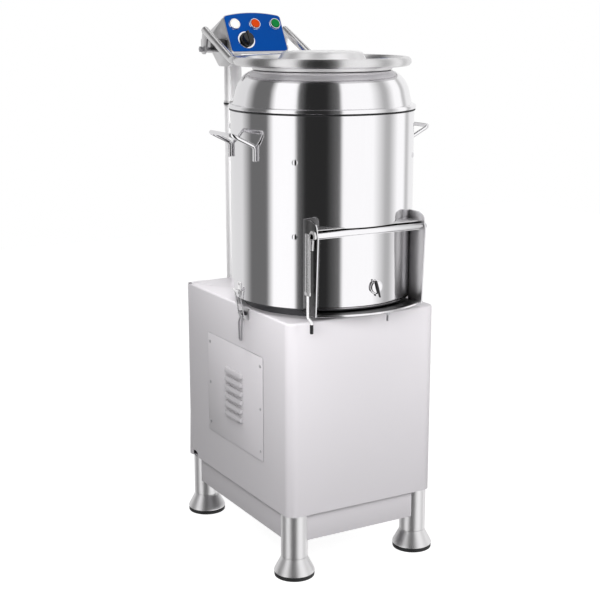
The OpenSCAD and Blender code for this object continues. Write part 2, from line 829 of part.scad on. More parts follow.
module hinge_shaft() {
  nut_h = 6;
  low_x = head_x - arm_x - 12;
  high_x = head_x + arm_x + 12;
  color("silver") place() {
    along_x(low_x, high_x, hinge_y, hinge_z, shaft_r);
    for (x = [low_x + 1, high_x - 1 - nut_h])
      translate([x, hinge_y, hinge_z]) rotate([0, 90, 0]) cylinder(h = nut_h, r = 9, $fn = 6);
  }
}

module lid_switch() {
  color("black") place() translate([head_x - box_half - switch_w, fascia_y + 23, base_z + 3])
    cube([switch_w, 50, 26]);
}

bezel_h = 6.5;
cap_r = bezel_d / 2 - 3.5;

module bezels() {
  color("silver") on_fascia() translate([0, 0, fascia_t]) {
    for (p = [lamp_at, stop_at, start_at]) translate([p[0], p[1], 0]) tube(0, bezel_h, bezel_d / 2, bezel_d / 2 - 3);
    translate([timer_at[0], timer_at[1], 0]) tube(0, 1.5, dial_d / 2, stem_r + stem_gap);
  }
}

module lamp_lens() {
  r = bezel_d / 2 - 3;
  color("white") on_fascia() translate([lamp_at[0], lamp_at[1], fascia_t]) intersection() {
    cylinder(h = 3 * bezel_h, r = r);
    translate([0, 0, bezel_h + 3 - 2 * r]) sphere(2 * r);
  }
}

module push_button(p) {
  cap_low = fascia_t + button_travel + free_gap;
  on_fascia() translate([p[0], p[1], 0]) {
    translate([0, 0, cap_low]) cylinder(h = fascia_t + bezel_h + 2 - cap_low, r = cap_r);
    translate([0, 0, -12]) cylinder(h = 12 + cap_low, r = stem_r);
  }
}

module stop_button() { color("orangered") push_button(stop_at); }

module start_button() { color("seagreen") push_button(start_at); }

module timer_knob() {
  low = fascia_t + 1.5 + free_gap;
  color("black") on_fascia() translate([timer_at[0], timer_at[1], 0]) {
    translate([0, 0, low]) cylinder(h = 5, r = 17);
    translate([0, 0, low]) cylinder(h = 14, r = 13);
    translate([-3, -17, low]) cube([6, 34, 16]);
    translate([0, 0, -10]) cylinder(h = 10 + low, r = stem_r);
  }
}

// Lid
module lid_ring() {
  color("silver") place() translate([0, 0, ring_z]) rotate_extrude() translate([ring_r, 0]) circle(ring_tube_r);
}

lid_low_z = ring_z - ring_tube_r;
lid_top_z = lid_low_z + lid_t;
bend_y = 143;
tip_y = 287;

module ring_space() {
  translate([0, 0, ring_z]) rotate_extrude() translate([ring_r, 0]) circle(ring_tube_r);
}

module lid_disc() {
  skirt_r = 152;
  skirt_low_z = hood_top_z - 2;
  color("silver") place() difference() {
    union() {
      translate([0, 0, lid_low_z]) cylinder(h = lid_t, r = ring_r);
      tube(skirt_low_z, lid_low_z, skirt_r + 3, skirt_r);
    }
    ring_space();
  }
}

module lid_crown() {
  edge = 7;
  top = crown_r - 15;
  color("whitesmoke") place() translate([0, 0, lid_top_z]) rotate_extrude() difference() {
    union() {
      polygon([[0, 0], [crown_r, 0], [top, crown_h - edge], [top - edge, crown_h], [0, crown_h]]);
      intersection() {
        translate([top - edge, crown_h - edge]) circle(edge);
        square([crown_r, crown_h]);
      }
    }
    polygon([[-past, -past], [crown_r - 4, -past], [top - 5, crown_h - 6], [top - 8, crown_h - 2.5],
      [-past, crown_h - 2.5]]);
  }
}

module lid_arms() {
  tip_z = ring_z + arm_rise;
  arm_r = ring_tube_r - 0.5;
  color("silver") place() for (side = [-1, 1]) {
    x = head_x + side * arm_x;
    difference() {
      union() {
        bent_bar([[x, bend_y, ring_z], [x, tip_y, tip_z]], arm_r);
        // The left arm runs level into the side of the ring
        if (side < 0) bar([x, sqrt(ring_r * ring_r - x * x), ring_z], [x, bend_y, ring_z], arm_r);
        plate_yz(x - 2.5, 5) {
          translate([hinge_y, hinge_z]) circle(12);
          polygon([[hinge_y - 12, hinge_z], [hinge_y + 12, hinge_z], [tip_y + 4, tip_z], [tip_y - 22, tip_z - 10]]);
        }
      }
      ring_space();
      // The right arm lands on the lid's plate
      if (side > 0) translate([x - 20, bend_y - 20, lid_low_z - 30]) cube([40, 40, 30 + lid_t]);
      along_x(x - 4, x + 4, hinge_y, hinge_z, shaft_r + run_gap);
    }
  }
}

// Door, drawn closed
door_half = chute_half - door_gap;
door_low_z = sill_z + 1.5;
latch_x = 14;
turn_z = pan_top_z + 43;
turn_stem_r = 5;

module door_plate() {
  color("silver") place() difference() {
    intersection() {
      union() {
        tube(door_low_z, door_top_z, drum_r, drum_r - drum_t);
        // Top flange that joins the curved plate to the hinge bar
        difference() {
          translate([-door_half, bar_y, door_top_z - 2.5]) cube([2 * door_half, drum_r * 0.3, 2.5]);
          translate([0, 0, door_low_z]) cylinder(h = door_top_z, r = drum_r - drum_t);
        }
      }
      translate([-door_half, -drum_r - past, door_low_z - past]) cube([2 * door_half, drum_r * 0.5, drum_r]);
    }
    along_x(-drum_r, drum_r, bar_y, bar_z, bar_r);
    translate([latch_x, 0, turn_z]) rotate([90, 0, 0]) cylinder(h = drum_r + past, r = turn_stem_r + run_gap);
  }
}

bar_end = chute_half + cheek_t + 8;

module door_bar() {
  color("silver") place() along_x(-bar_end, bar_end - 3, bar_y, bar_z, bar_r);
}

lever_x = -bar_end - 3.5;
lever_y = bar_y + 10;
fork_low_z = bar_z - 121;
kink_z = bar_z - 175;
kink_y = lever_y - 16;
rod_low_z = bar_z - 203;
lever_rod_r = 3;

module door_lever() {
  strap_x = -bar_end;
  color("silver") place() difference() {
    union() {
      plate_yz(strap_x, 5) {
        translate([bar_y, bar_z]) circle(ear_r + 1);
        polygon([[bar_y - 3, bar_z], [bar_y + 21, bar_z], [bar_y + 21, bar_z - 30], [bar_y - 1, bar_z - 30]]);
      }
      for (y = [-5, 5]) bent_bar([[lever_x, lever_y + y, bar_z + 5], [lever_x, lever_y + y, fork_low_z]], 4.2);
      translate([lever_x - 4.5, lever_y - 9.5, fork_low_z - 6]) cube([9, 19, 8]);
      bent_bar([[lever_x, lever_y, fork_low_z - 4], [lever_x, lever_y, kink_z], [lever_x, kink_y, kink_z - 8]],
        lever_rod_r);
      bar([lever_x, kink_y, rod_low_z], [lever_x, kink_y, kink_z - 8], lever_rod_r);
    }
    along_x(strap_x - past, lever_x + 20, bar_y, bar_z, bar_r);
  }
}

module lever_sleeve() {
  end_t = 4;
  sleeve_l = 20;
  color("black") place() translate([lever_x, kink_y, rod_low_z - end_t]) difference() {
    cylinder(h = sleeve_l, r = 5);
    translate([0, 0, end_t]) cylinder(h = sleeve_l, r = lever_rod_r);
  }
}

module turn_latch() {
  face = drum_r + 0.4;
  color("silver") place() translate([latch_x, 0, turn_z]) rotate([90, 0, 0]) {
    translate([0, 0, face]) cylinder(h = 3, r = 16);
    translate([0, 0, face + 3]) cylinder(h = 2.5, r = 13);
    translate([0, 0, drum_r - 10]) cylinder(h = 11, r = turn_stem_r);
    translate([-5, -38, drum_r - 10]) cube([10, 43, 3]);
    rotate([0, 0, 16]) translate([-2.5, -24, face + 5]) cube([5, 40, 5]);
  }
}

// Drive
housing_low_z = cab_top_z - 107;
shaft_low_z = pulley_z - 20;
table_z = pan_top_z + 15;
table_t = 10;
shaft_top_z = table_z + table_t + 10;
bearing_r = 26;

module bearing_housing() {
  color("gray") place() difference() {
    union() {
      translate([0, 0, housing_low_z]) cylinder(h = cab_top_z + flange_t - housing_low_z, r = housing_r);
      translate([0, 0, cab_top_z + flange_t]) cylinder(h = 6, r = 60);
      translate([0, 0, cab_top_z + flange_t]) cylinder(h = 20, r = 20);
    }
    translate([0, 0, housing_low_z - past]) cylinder(h = cab_top_z - 8 - housing_low_z + past, r = bearing_r);
    translate([0, 0, housing_low_z]) cylinder(h = pan_top_z, r = main_d / 2 + 0.5);
  }
}

module bearings() {
  color("lightgray") place() for (z = [housing_low_z + 4, cab_top_z - 8 - 15])
    tube(z, z + 15, bearing_r, main_d / 2 + run_gap);
}

module main_shaft() {
  color("silver") place() translate([0, 0, shaft_low_z]) cylinder(h = shaft_top_z - shaft_low_z, r = main_d / 2);
}

module cap_nut() {
  color("silver") place() difference() {
    union() {
      translate([0, 0, table_z + table_t]) cylinder(h = 9, r = 21, $fn = 6);
      translate([0, 0, table_z + table_t + 3]) sphere(16);
    }
    translate([0, 0, table_z]) cylinder(h = shaft_top_z - table_z, r = main_d / 2);
    translate([0, 0, table_z + table_t - 20]) cylinder(h = 20, r = 30);
  }
}

// Abrasive disc with three raised waves and a skirt that throws the water clear of the housing
module turntable() {
  wave_r = 34;
  wave_h = 14;
  color("rosybrown") place() difference() {
    union() {
      translate([0, 0, table_z]) cylinder(h = table_t, r = table_r);
      tube(table_z - 16, table_z, 34, 26);
      translate([0, 0, table_z - 6]) cylinder(h = 6, r = 28);
      intersection() {
        for (a = [0, 120, 240])
          rotate([0, 0, a]) translate([0, 0, table_z + table_t + wave_h - wave_r]) rotate([0, 90, 0])
            cylinder(h = table_r, r = wave_r);
        difference() {
          translate([0, 0, table_z]) cylinder(h = 2 * wave_r, r = table_r - 6);
          translate([0, 0, table_z + table_t]) cylinder(h = 2 * wave_r, r = 34);
        }
      }
    }
    translate([0, 0, shaft_low_z]) cylinder(h = table_z, r = main_d / 2);
  }
}

module pulley(r, bore, hub_r) {
  half = belt_w / 2 + 1;
  difference() {
    union() {
      tube(-half, half, r, r - 12);
      tube(-half - 2.5, -half, r + 4, r - 12);
      tube(half, half + 2.5, r + 4, r - 12);
      translate([0, 0, -4]) cylinder(h = 8, r = r - 11);
      translate([0, 0, -half - 2.5]) cylinder(h = 2 * half + 5, r = hub_r);
    }
    translate([0, 0, -2 * half]) cylinder(h = 4 * half, r = bore);
  }
}

module big_pulley() {
  color("dimgray") place() translate([0, 0, pulley_z]) pulley(big_pulley_r, main_d / 2, 24);
}

motor_top_z = pulley_z - 26;
motor_low_z = motor_top_z - 198;
motor_shaft_r = 9.5;
motor_y = back_y - motor_r - motor_gap;
bracket_z = motor_top_z;
bracket_plate_t = 5;

// Motor shaft with its pulley
module motor_pulley() {
  color("dimgray") place() translate([0, motor_y, 0]) {
    translate([0, 0, pulley_z]) pulley(small_pulley_r, motor_shaft_r, 14);
    translate([0, 0, motor_top_z - 30]) cylinder(h = pulley_z + 10 - motor_top_z + 30, r = motor_shaft_r);
  }
}

module motor_body() {
  color("slategray") place() translate([0, motor_y, 0]) difference() {
    union() {
      translate([0, 0, motor_low_z + 30]) cylinder(h = motor_top_z - motor_low_z - 30, r = motor_r);
      translate([0, 0, motor_low_z]) cylinder(h = 30, r = motor_r - 4);
      for (a = [0 : 15 : 345]) rotate([0, 0, a])
        translate([motor_r - 2, -1.5, motor_low_z + 40]) cube([7, 3, motor_top_z - motor_low_z - 52]);
    }
    translate([0, 0, motor_top_z - 30.5]) cylinder(h = 40, r = motor_shaft_r + 0.3);
  }
}

// Plate between the side walls with a turned down edge on each wall
module motor_bracket() {
  inner = cab_w / 2 - cab_wall;
  low_y = motor_y - motor_r - 10;
  depth = back_y - cab_corner_r - low_y;
  edge_t = 3;
  edge_h = 36;
  color("silver") place() difference() {
    union() {
      translate([-inner, low_y, bracket_z]) cube([2 * inner, depth, bracket_plate_t]);
      for (x = [-inner, inner - edge_t]) translate([x, low_y, bracket_z - edge_h]) cube([edge_t, depth, edge_h]);
    }
    translate([0, motor_y, bracket_z - past]) cylinder(h = bracket_plate_t + 2 * past, r = 30);
  }
}

// Flat belt: two round ends and the tangent runs between them
module belt_outline(r1, r2) {
  s = (r1 - r2) / motor_y;
  c = sqrt(1 - s * s);
  circle(r1);
  translate([0, motor_y]) circle(r2);
  polygon([[-r1 * c, r1 * s], [r1 * c, r1 * s], [r2 * c, motor_y + r2 * s], [-r2 * c, motor_y + r2 * s]]);
}

module drive_belt() {
  r1 = big_pulley_r + free_gap;
  r2 = small_pulley_r + free_gap;
  color("black") place() translate([0, 0, pulley_z - belt_w / 2]) linear_extrude(belt_w) difference() {
    belt_outline(r1 + belt_t, r2 + belt_t);
    belt_outline(r1, r2);
  }
}

// Elbow under the pan, a lock nut on the rear wall and a spigot for the hose
module drain_pipe() {
  nut_y = back_y + drain_nut_t;
  color("gray") place() translate([drain_x, 0, drain_z]) difference() {
    union() {
      translate([0, drain_y, 0]) cylinder(h = cab_top_z + flange_t - drain_z, r = drain_r);
      translate([0, drain_y, 0]) sphere(drain_r);
      bar([0, drain_y, 0], [0, back_y + past, 0], drain_r);
      bar([0, back_y, 0], [0, nut_y, 0], drain_nut_r);
      bar([0, back_y, 0], [0, nut_y + spigot_l, 0], spigot_r);
    }
    translate([0, drain_y, 0]) cylinder(h = cab_top_z, r = drain_r - drain_wall);
    translate([0, drain_y, 0]) sphere(drain_r - drain_wall);
    bar([0, drain_y, 0], [0, back_y - past, 0], drain_r - drain_wall);
    bar([0, drain_y, 0], [0, nut_y + spigot_l + past, 0], spigot_r - drain_wall);
  }
}

module water_inlet() {
  inlet_l = 34;
  color("silver") place() rotate([0, 0, inlet_angle]) translate([0, 0, inlet_z]) rotate([0, 90, 0]) difference() {
    union() {
      translate([0, 0, liner_r - liner_t]) cylinder(h = drum_t + liner_t + inlet_l, r = inlet_r);
      translate([0, 0, drum_r]) cylinder(h = 5, r = 16, $fn = 6);
    }
    translate([0, 0, liner_r - liner_t - past]) cylinder(h = 2 * inlet_l, r = inlet_r - 2.5);
  }
}

cabinet_shell();
base_frame();
skirt();
leg(0);  // leg_1
leg(1);  // leg_2
leg(2);  // leg_3
leg(3);  // leg_4
foot_bells();
foot_pads();
access_panel();
panel_screws();
base_pan();
drum_shell();
abrasive_liner();
liner_screws();
rim_gasket();
hood();
handles();
chute_cheeks();
chute_floor();
lip_stud();
latch_catches();
latch_bases();
column();
column_clamps();
head_bracket();
control_box();
fascia();
hinge_shaft();
lid_switch();
bezels();
lamp_lens();
bearing_housing();
bearings();
motor_bracket();
motor_body();
drive_belt();
drain_pipe();
water_inlet();
lid_ring();
lid_arms();
lid_disc();
lid_crown();
door_plate();
door_bar();
door_lever();
lever_sleeve();
turn_latch();
latch_lever_left();
latch_bail_left();
latch_lever_right();
latch_bail_right();
stop_button();
start_button();
timer_knob();
turntable();
cap_nut();
main_shaft();
big_pulley();
motor_pulley();
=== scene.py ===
import json
from math import atan2, cos, degrees, hypot, pi, radians, sin, sqrt, tan
import bpy
import numpy as np
from mathutils import Matrix, Vector


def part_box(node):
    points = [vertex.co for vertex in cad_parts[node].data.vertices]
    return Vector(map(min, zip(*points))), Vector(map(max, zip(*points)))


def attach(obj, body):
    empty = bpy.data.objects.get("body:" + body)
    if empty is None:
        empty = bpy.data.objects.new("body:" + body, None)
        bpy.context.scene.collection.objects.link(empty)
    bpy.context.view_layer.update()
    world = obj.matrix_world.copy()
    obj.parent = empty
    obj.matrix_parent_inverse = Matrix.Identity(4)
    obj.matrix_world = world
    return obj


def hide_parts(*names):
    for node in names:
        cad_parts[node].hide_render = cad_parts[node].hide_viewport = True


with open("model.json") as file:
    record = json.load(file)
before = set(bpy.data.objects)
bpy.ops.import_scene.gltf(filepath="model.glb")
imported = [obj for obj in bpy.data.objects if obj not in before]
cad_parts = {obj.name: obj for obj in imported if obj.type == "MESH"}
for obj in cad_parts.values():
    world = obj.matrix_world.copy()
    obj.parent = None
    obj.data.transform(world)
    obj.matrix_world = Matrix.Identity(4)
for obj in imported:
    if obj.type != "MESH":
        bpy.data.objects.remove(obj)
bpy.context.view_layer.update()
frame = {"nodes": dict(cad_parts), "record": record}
nodes = frame["nodes"]
scene = bpy.context.scene
# Sizes below are millimetres from the drum's axis and the floor; AXIS_Y moves them into the frame.
low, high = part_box("drum_shell")
AXIS_Y = (low.y + high.y) / 2


# Camera: front left of the machine, a little above the lid, long lens.
def add_object(name, data):
    """New object in the scene."""
    added = bpy.data.objects.new(name, data)
    scene.collection.objects.link(added)
    return added


def metres(at):
    """Place in the frame of a point in millimetres."""
    return at[0] / 1000, at[1] / 1000 + AXIS_Y, at[2] / 1000


CAMERA_AT = (-1477.0, -2474.8, 1233.8)
camera_data = bpy.data.cameras.new("camera")
camera_data.sensor_width = 36
camera_data.lens = 76.95
camera = add_object("camera", camera_data)
camera.location = metres(CAMERA_AT)
camera.rotation_euler = (radians(90 - 12.75), 0, radians(-29.85))
scene.camera = camera
scene.view_settings.view_transform = "Standard"


# Studio: white surroundings. Mirror-like metal sees tall soft boxes and dark flags that stand side by side
# and bend over the machine, so that they fill the same strip of a wall, a shoulder or a tube. Each card is
# given by its two edges in degrees from the camera's direction, as a level wall would mirror them, and by its
# brightness.
CARDS = [(-180, -118, 0.80), (-98, -72, 0.16), (-62, -34, 1.15), (-30, -30, 0.15), (-20, 6, 0.025),
         (22, 22, 0.16), (26, 66, 1.12), (86, 92, 0.50), (108, 122, 1.12), (128, 132, 0.6), (140, 180, 0.95)]
world = bpy.data.worlds.new("studio")
scene.world = world
world.use_nodes = True
sky = world.node_tree
sky.nodes.clear()


def add_node(tree, kind, links=(), **values):
    """Node of a kind with its attributes set; links are pairs of an input's name or number and the socket or
    the value it takes."""
    node = tree.nodes.new(kind)
    for label, value in values.items():
        setattr(node, label, value)
    for label, source in links:
        if hasattr(source, "is_output"):
            tree.links.new(source, node.inputs[label])
        else:
            node.inputs[label].default_value = source
    return node


def math_node(tree, operation, *values):
    """Output of a math node; its inputs are sockets or numbers."""
    return add_node(tree, "ShaderNodeMath", enumerate(values), operation=operation).outputs[0]


# The mirror that sends a ray into the lens faces half way between both; the azimuth it faces picks the card.
flat = hypot(CAMERA_AT[0], CAMERA_AT[1])
rise = radians(5)
to_camera = (cos(rise) * CAMERA_AT[0] / flat, cos(rise) * CAMERA_AT[1] / flat, sin(rise))
coords = add_node(sky, "ShaderNodeTexCoord")
facing = add_node(sky, "ShaderNodeVectorMath", [(0, coords.outputs["Generated"]), (1, to_camera)],
                  operation="ADD")
wall_normal = add_node(sky, "ShaderNodeVectorMath", [(0, facing.outputs[0])], operation="NORMALIZE")
split = add_node(sky, "ShaderNodeSeparateXYZ", [(0, wall_normal.outputs[0])])
angle = math_node(sky, "ARCTAN2", split.outputs["Y"], split.outputs["X"])
turn = math_node(sky, "SUBTRACT", angle, atan2(CAMERA_AT[1], CAMERA_AT[0]))
share = add_node(sky, "ShaderNodeMapRange", [("Value", math_node(sky, "WRAP", turn, pi, -pi)),
                                             ("From Min", -pi / 2), ("From Max", pi / 2)])
cards = add_node(sky, "ShaderNodeValToRGB", [(0, share.outputs[0])])
steps = []
for first, last, level in CARDS:
    steps += [(first, level)] if first == last else [(first, level), (last, level)]
ramp = cards.color_ramp
for i, (edge, level) in enumerate(steps):
    stop = ramp.elements[i] if i < 2 else ramp.elements.new(1.0)
    stop.position = (edge + 180) / 360
    stop.color = (level, level, level, 1)
# What faces up sees a white ceiling.
ceiling = add_node(sky, "ShaderNodeMapRange", [("Value", split.outputs["Z"]), ("From Min", 0.93),
                                               ("From Max", 0.99)], interpolation_type="SMOOTHSTEP")
white = (1, 1, 1, 1)
overhead = add_node(sky, "ShaderNodeMix", [("Factor", ceiling.outputs[0]), ("A", cards.outputs[0]),
                                           ("B", white)], data_type="RGBA")
room = add_node(sky, "ShaderNodeBackground", [("Color", white), ("Strength", 0.14)])
mirror = add_node(sky, "ShaderNodeBackground", [("Color", overhead.outputs["Result"])])
backdrop = add_node(sky, "ShaderNodeBackground", [("Color", white)])
rays = add_node(sky, "ShaderNodeLightPath").outputs
inner = add_node(sky, "ShaderNodeMixShader", [(0, rays["Is Glossy Ray"]), (1, room.outputs[0]),
                                              (2, mirror.outputs[0])])
seen = add_node(sky, "ShaderNodeMixShader", [(0, rays["Is Camera Ray"]), (1, inner.outputs[0]),
                                             (2, backdrop.outputs[0])])
add_node(sky, "ShaderNodeOutputWorld", [(0, seen.outputs[0])])


# Lamps: small soft boxes near the machine, so that its walls fall off downwards and to the back: one in front
# on the right, one before the left front corner, one over the cabinet's top and one over the lid. Two weak
# suns fill in from the front and from behind.
def soft_box(name, at, aim, size, power):
    """Square lamp at a point, turned to another; it lights surfaces but shows in no mirror."""
    data = bpy.data.lights.new(name, "AREA")
    data.energy = power
    data.size = size / 1000
    lamp = add_object(name, data)
    lamp.location = metres(at)
    lamp.rotation_euler = (Vector(aim) - Vector(at)).to_track_quat("-Z", "Y").to_euler()
    lamp.visible_glossy = False
    lamp.visible_camera = False


soft_box("front_box", (480, -760, 670), (100, -184, 450), 450, 3.6)
soft_box("corner_box", (-620, -590, 760), (-180, -140, 480), 400, 4.9)
soft_box("top_box", (-350, 120, 1000), (-130, 100, 585), 250, 2.0)
soft_box("lid_box", (-60, -420, 1620), (0, 40, 1160), 300, 1.7)
for name, energy, tilt, heading in (("sun", 0.75, 62, -25), ("rear_sun", 1.5, 72, 141)):
    sun_data = bpy.data.lights.new(name, "SUN")
    sun_data.energy = energy
    sun_data.angle = radians(30)
    sun = add_object(name, sun_data)
    sun.rotation_euler = (radians(tilt), 0, radians(heading))
    sun.visible_glossy = False

# White floor under the feet: grey paper for light that falls on it, and nearly white to the camera.
floor_mesh = bpy.data.meshes.new("floor")
floor_mesh.from_pydata([(-4, -4, 0), (4, -4, 0), (4, 4, 0), (-4, 4, 0)], [], [(0, 1, 2, 3)])
floor = add_object("floor", floor_mesh)
paper = bpy.data.materials.new("floor_paper")
paper.use_nodes = True
shader = paper.node_tree.nodes["Principled BSDF"]
shader.inputs["Base Color"].default_value = (0.3, 0.3, 0.3, 1)
shader.inputs["Roughness"].default_value = 1
shader.inputs["Emission Color"].default_value = (1, 1, 1, 1)
seen = add_node(paper.node_tree, "ShaderNodeLightPath").outputs["Is Camera Ray"]
glow = math_node(paper.node_tree, "MULTIPLY", seen, 0.92)
paper.node_tree.links.new(glow, shader.inputs["Emission Strength"])
floor_mesh.materials.append(paper)
floor.visible_glossy = False


# Finishes. One group gives metal its drawn grain and faint smudges, one gives paint and plastic its moulded
# texture; both read Object coordinates, so the detail keeps its real size on every piece.
COLOR, FLOAT, VECTOR = "NodeSocketColor", "NodeSocketFloat", "NodeSocketVector"


def finish_group(name, roughness, *own):
    """Shader group with colour, roughness and its own inputs; it puts out colour, roughness and height."""
    group = bpy.data.node_groups.new(name, "ShaderNodeTree")
    shared = [("Color", COLOR, (0.7, 0.7, 0.7, 1)), ("Roughness", FLOAT, roughness)]
    for label, kind, value in shared + list(own):
        group.interface.new_socket(label, in_out="INPUT", socket_type=kind).default_value = value
    for label, kind in (("Color", COLOR), ("Roughness", FLOAT), ("Height", FLOAT)):
        group.interface.new_socket(label, in_out="OUTPUT", socket_type=kind)
    place = add_node(group, "ShaderNodeTexCoord").outputs["Object"]
    return group, group.nodes.new("NodeGroupInput").outputs, place


def noise(tree, vector, scale, detail):
    """Output of a noise texture; its inputs are sockets or numbers."""
    links = [("Vector", vector), ("Scale", scale), ("Detail", detail)]
    return add_node(tree, "ShaderNodeTexNoise", links).outputs["Fac"]


def end_group(group, colour, shade, rough, height):
    """Joins the outputs of a finish group; the colour is multiplied by shade."""
    tinted = add_node(group, "ShaderNodeVectorMath", [(0, colour), (3, shade)], operation="SCALE")
    ends = [("Color", tinted.outputs[0]), ("Roughness", rough), ("Height", height)]
    add_node(group, "NodeGroupOutput", ends)


metal_group, given, place = finish_group("drawn_metal", 0.2, ("Stretch", VECTOR, (900, 900, 12)),
                                         ("Smudge", FLOAT, 0.05), ("Tint", FLOAT, 0.06))
stretched = add_node(metal_group, "ShaderNodeVectorMath", [(0, place), (1, given["Stretch"])],
                     operation="MULTIPLY")
grain = noise(metal_group, stretched.outputs[0], 1.0, 3.0)
cloud = math_node(metal_group, "SUBTRACT", noise(metal_group, place, 7.0, 4.0), 0.5)
smudge = math_node(metal_group, "MULTIPLY_ADD", cloud, given["Smudge"], given["Roughness"])
streak = math_node(metal_group, "SUBTRACT", grain, 0.5)
rough = math_node(metal_group, "MULTIPLY_ADD", streak, given["Smudge"], smudge)
shade = math_node(metal_group, "MULTIPLY_ADD", streak, given["Tint"], 1.0)
end_group(metal_group, given["Color"], shade, rough, grain)

coat_group, given, place = finish_group("moulded_coat", 0.4, ("Grain Size", FLOAT, 900.0),
                                        ("Mottle", FLOAT, 0.04))
peel = noise(coat_group, place, given["Grain Size"], 2.0)
uneven = math_node(coat_group, "SUBTRACT", noise(coat_group, place, 5.0, 3.0), 0.5)
rough = math_node(coat_group, "MULTIPLY_ADD", uneven, 0.12, given["Roughness"])
shade = math_node(coat_group, "MULTIPLY_ADD", uneven, given["Mottle"], 1.0)
end_group(coat_group, given["Color"], shade, rough, peel)


def finish_material(name, group, sockets, bump, **shader_values):
    """Principled material fed by a finish group; bump is (strength, distance in metres)."""
    made_material = bpy.data.materials.new(name)
    made_material.use_nodes = True
    t = made_material.node_tree
    principled = t.nodes["Principled BSDF"]
    effect = add_node(t, "ShaderNodeGroup", node_tree=group)
    for label, value in sockets.items():
        effect.inputs[label].default_value = value
    relief = add_node(t, "ShaderNodeBump", [("Height", effect.outputs["Height"]), ("Strength", bump[0]),
                      ("Distance", bump[1])])
    t.links.new(effect.outputs["Color"], principled.inputs["Base Color"])
    t.links.new(effect.outputs["Roughness"], principled.inputs["Roughness"])
    t.links.new(relief.outputs["Normal"], principled.inputs["Normal"])
    for label, value in shader_values.items():
        principled.inputs[label.replace("_", " ")].default_value = value
    return made_material


def metal(name, level, roughness, stretch, smudge, tint, bump, blue=0.0, metallic=1.0):
    """Grey metal with drawn grain; stretch is the grain's fineness along x, y and z."""
    sockets = {"Color": (level, level * 0.99, level * (1 + blue), 1), "Roughness": roughness,
               "Stretch": stretch, "Smudge": smudge, "Tint": tint}
    return finish_material(name, metal_group, sockets, bump, Metallic=metallic)


def coat(name, colour, roughness, grain, mottle, bump, **shader_values):
    """Paint, plastic or rubber with a moulded texture."""
    sockets = {"Color": colour + (1,), "Roughness": roughness, "Grain Size": grain, "Mottle": mottle}
    return finish_material(name, coat_group, sockets, bump, **shader_values)


FINE, SMOOTH, EVEN = (0.02, 0.0001), (0.03, 0.0002), (300, 300, 300)
polished = metal("polished_steel", 0.86, 0.10, (700, 700, 6), 0.05, 0.05, (0.04, 0.0002), blue=0.01)
satin = metal("satin_steel", 0.84, 0.42, (300, 300, 20), 0.04, 0.05, (0.03, 0.0001))
tube_steel = metal("brushed_tube", 0.72, 0.24, EVEN, 0.04, 0.03, FINE)
lid_steel = metal("brushed_lid", 0.88, 0.34, EVEN, 0.04, 0.03, FINE, metallic=0.45)
zinc = metal("zinc_plated", 0.55, 0.38, (120, 120, 120), 0.2, 0.2, (0.1, 0.0003), blue=0.03)
# Painted shade: near-black steel that stands in for the shade on the left cheek's broad faces and on the
# chute's floor.
painted_shade_steel = metal("shaded_steel", 0.13, 0.3, (60, 400, 60), 0.15, 0.3, (0.08, 0.0003))
cabinet_paint = coat("cabinet_paint", (0.66, 0.638, 0.664), 0.42, 900.0, 0.03, SMOOTH, Coat_Weight=0.1)
# Painted shade: the cabinet's paint made darker for the louvres, so that their pressed faces look shaded.
louvre_shade_paint = coat("louvre_shade_paint", (0.47, 0.455, 0.474), 0.36, 900.0, 0.03, SMOOTH, Coat_Weight=0.3)
black_paint = coat("black_paint", (0.03, 0.03, 0.033), 0.35, 700.0, 0.2, (0.06, 0.0002))
rubber = coat("black_rubber", (0.016, 0.016, 0.017), 0.6, 1500.0, 0.4, (0.2, 0.0003))
black_plastic = coat("black_plastic", (0.012, 0.012, 0.013), 0.35, 1800.0, 0.3, (0.1, 0.0002))
blue_film = coat("blue_film", (0.001, 0.095, 0.48), 0.38, 2500.0, 0.08, (0.04, 0.0001),
                 Specular_IOR_Level=0.12)
white_cap = coat("white_cap", (0.93, 0.90, 0.83), 0.25, 900.0, 0.05, (0.03, 0.0001),
                 Emission_Color=(1, 0.95, 0.87, 1), Emission_Strength=0.4)
red_cap = coat("red_cap", (1.0, 0.09, 0.005), 0.3, 900.0, 0.06, (0.03, 0.0001), Specular_IOR_Level=0.15)
green_cap = coat("green_cap", (0.003, 0.30, 0.06), 0.3, 900.0, 0.06, (0.03, 0.0001), Specular_IOR_Level=0.15)
grey_plastic = coat("grey_plastic", (0.3, 0.31, 0.32), 0.45, 700.0, 0.06, (0.05, 0.0002))
cast = coat("cast_iron_paint", (0.18, 0.19, 0.2), 0.55, 260.0, 0.3, (0.35, 0.0006))
motor_paint = coat("motor_paint", (0.16, 0.2, 0.24), 0.45, 400.0, 0.15, (0.15, 0.0004))
grit = coat("abrasive_grit", (0.22, 0.17, 0.14), 0.9, 480.0, 0.6, (1.0, 0.0012))

# Pieces that stay as the frame gives them take the finish of what they are made of.
BY_SLOT = {"powder_steel": cabinet_paint, "brushed_steel": satin, "galvanised_steel": zinc,
           "polished_steel": polished, "black_steel": black_paint, "black_rubber": rubber,
           "black_plastic": black_plastic, "blue_plastic": blue_film, "white_plastic": white_cap,
           "red_plastic": red_cap, "green_plastic": green_cap, "grey_plastic": grey_plastic, "abrasive": grit,
           "cast_housing": cast, "motor_paint": motor_paint}
for part in frame["record"]["subparts"]:
    mesh = nodes[part["node"]].data
    mesh.materials.clear()
    mesh.materials.append(BY_SLOT[part["material_slot"]])


# Cabinet: one painted steel sheet wrapped round four upright bends, with a rolled top edge and a round hole
# under the drum. Its left side has an opening behind the access panel and a notch in the lower edge.
def rectangle(x0, y0, x1, y1):
    """Corners of a rectangle, counter-clockwise from the lowest."""
    return [(x0, y0), (x1, y0), (x1, y1), (x0, y1)]


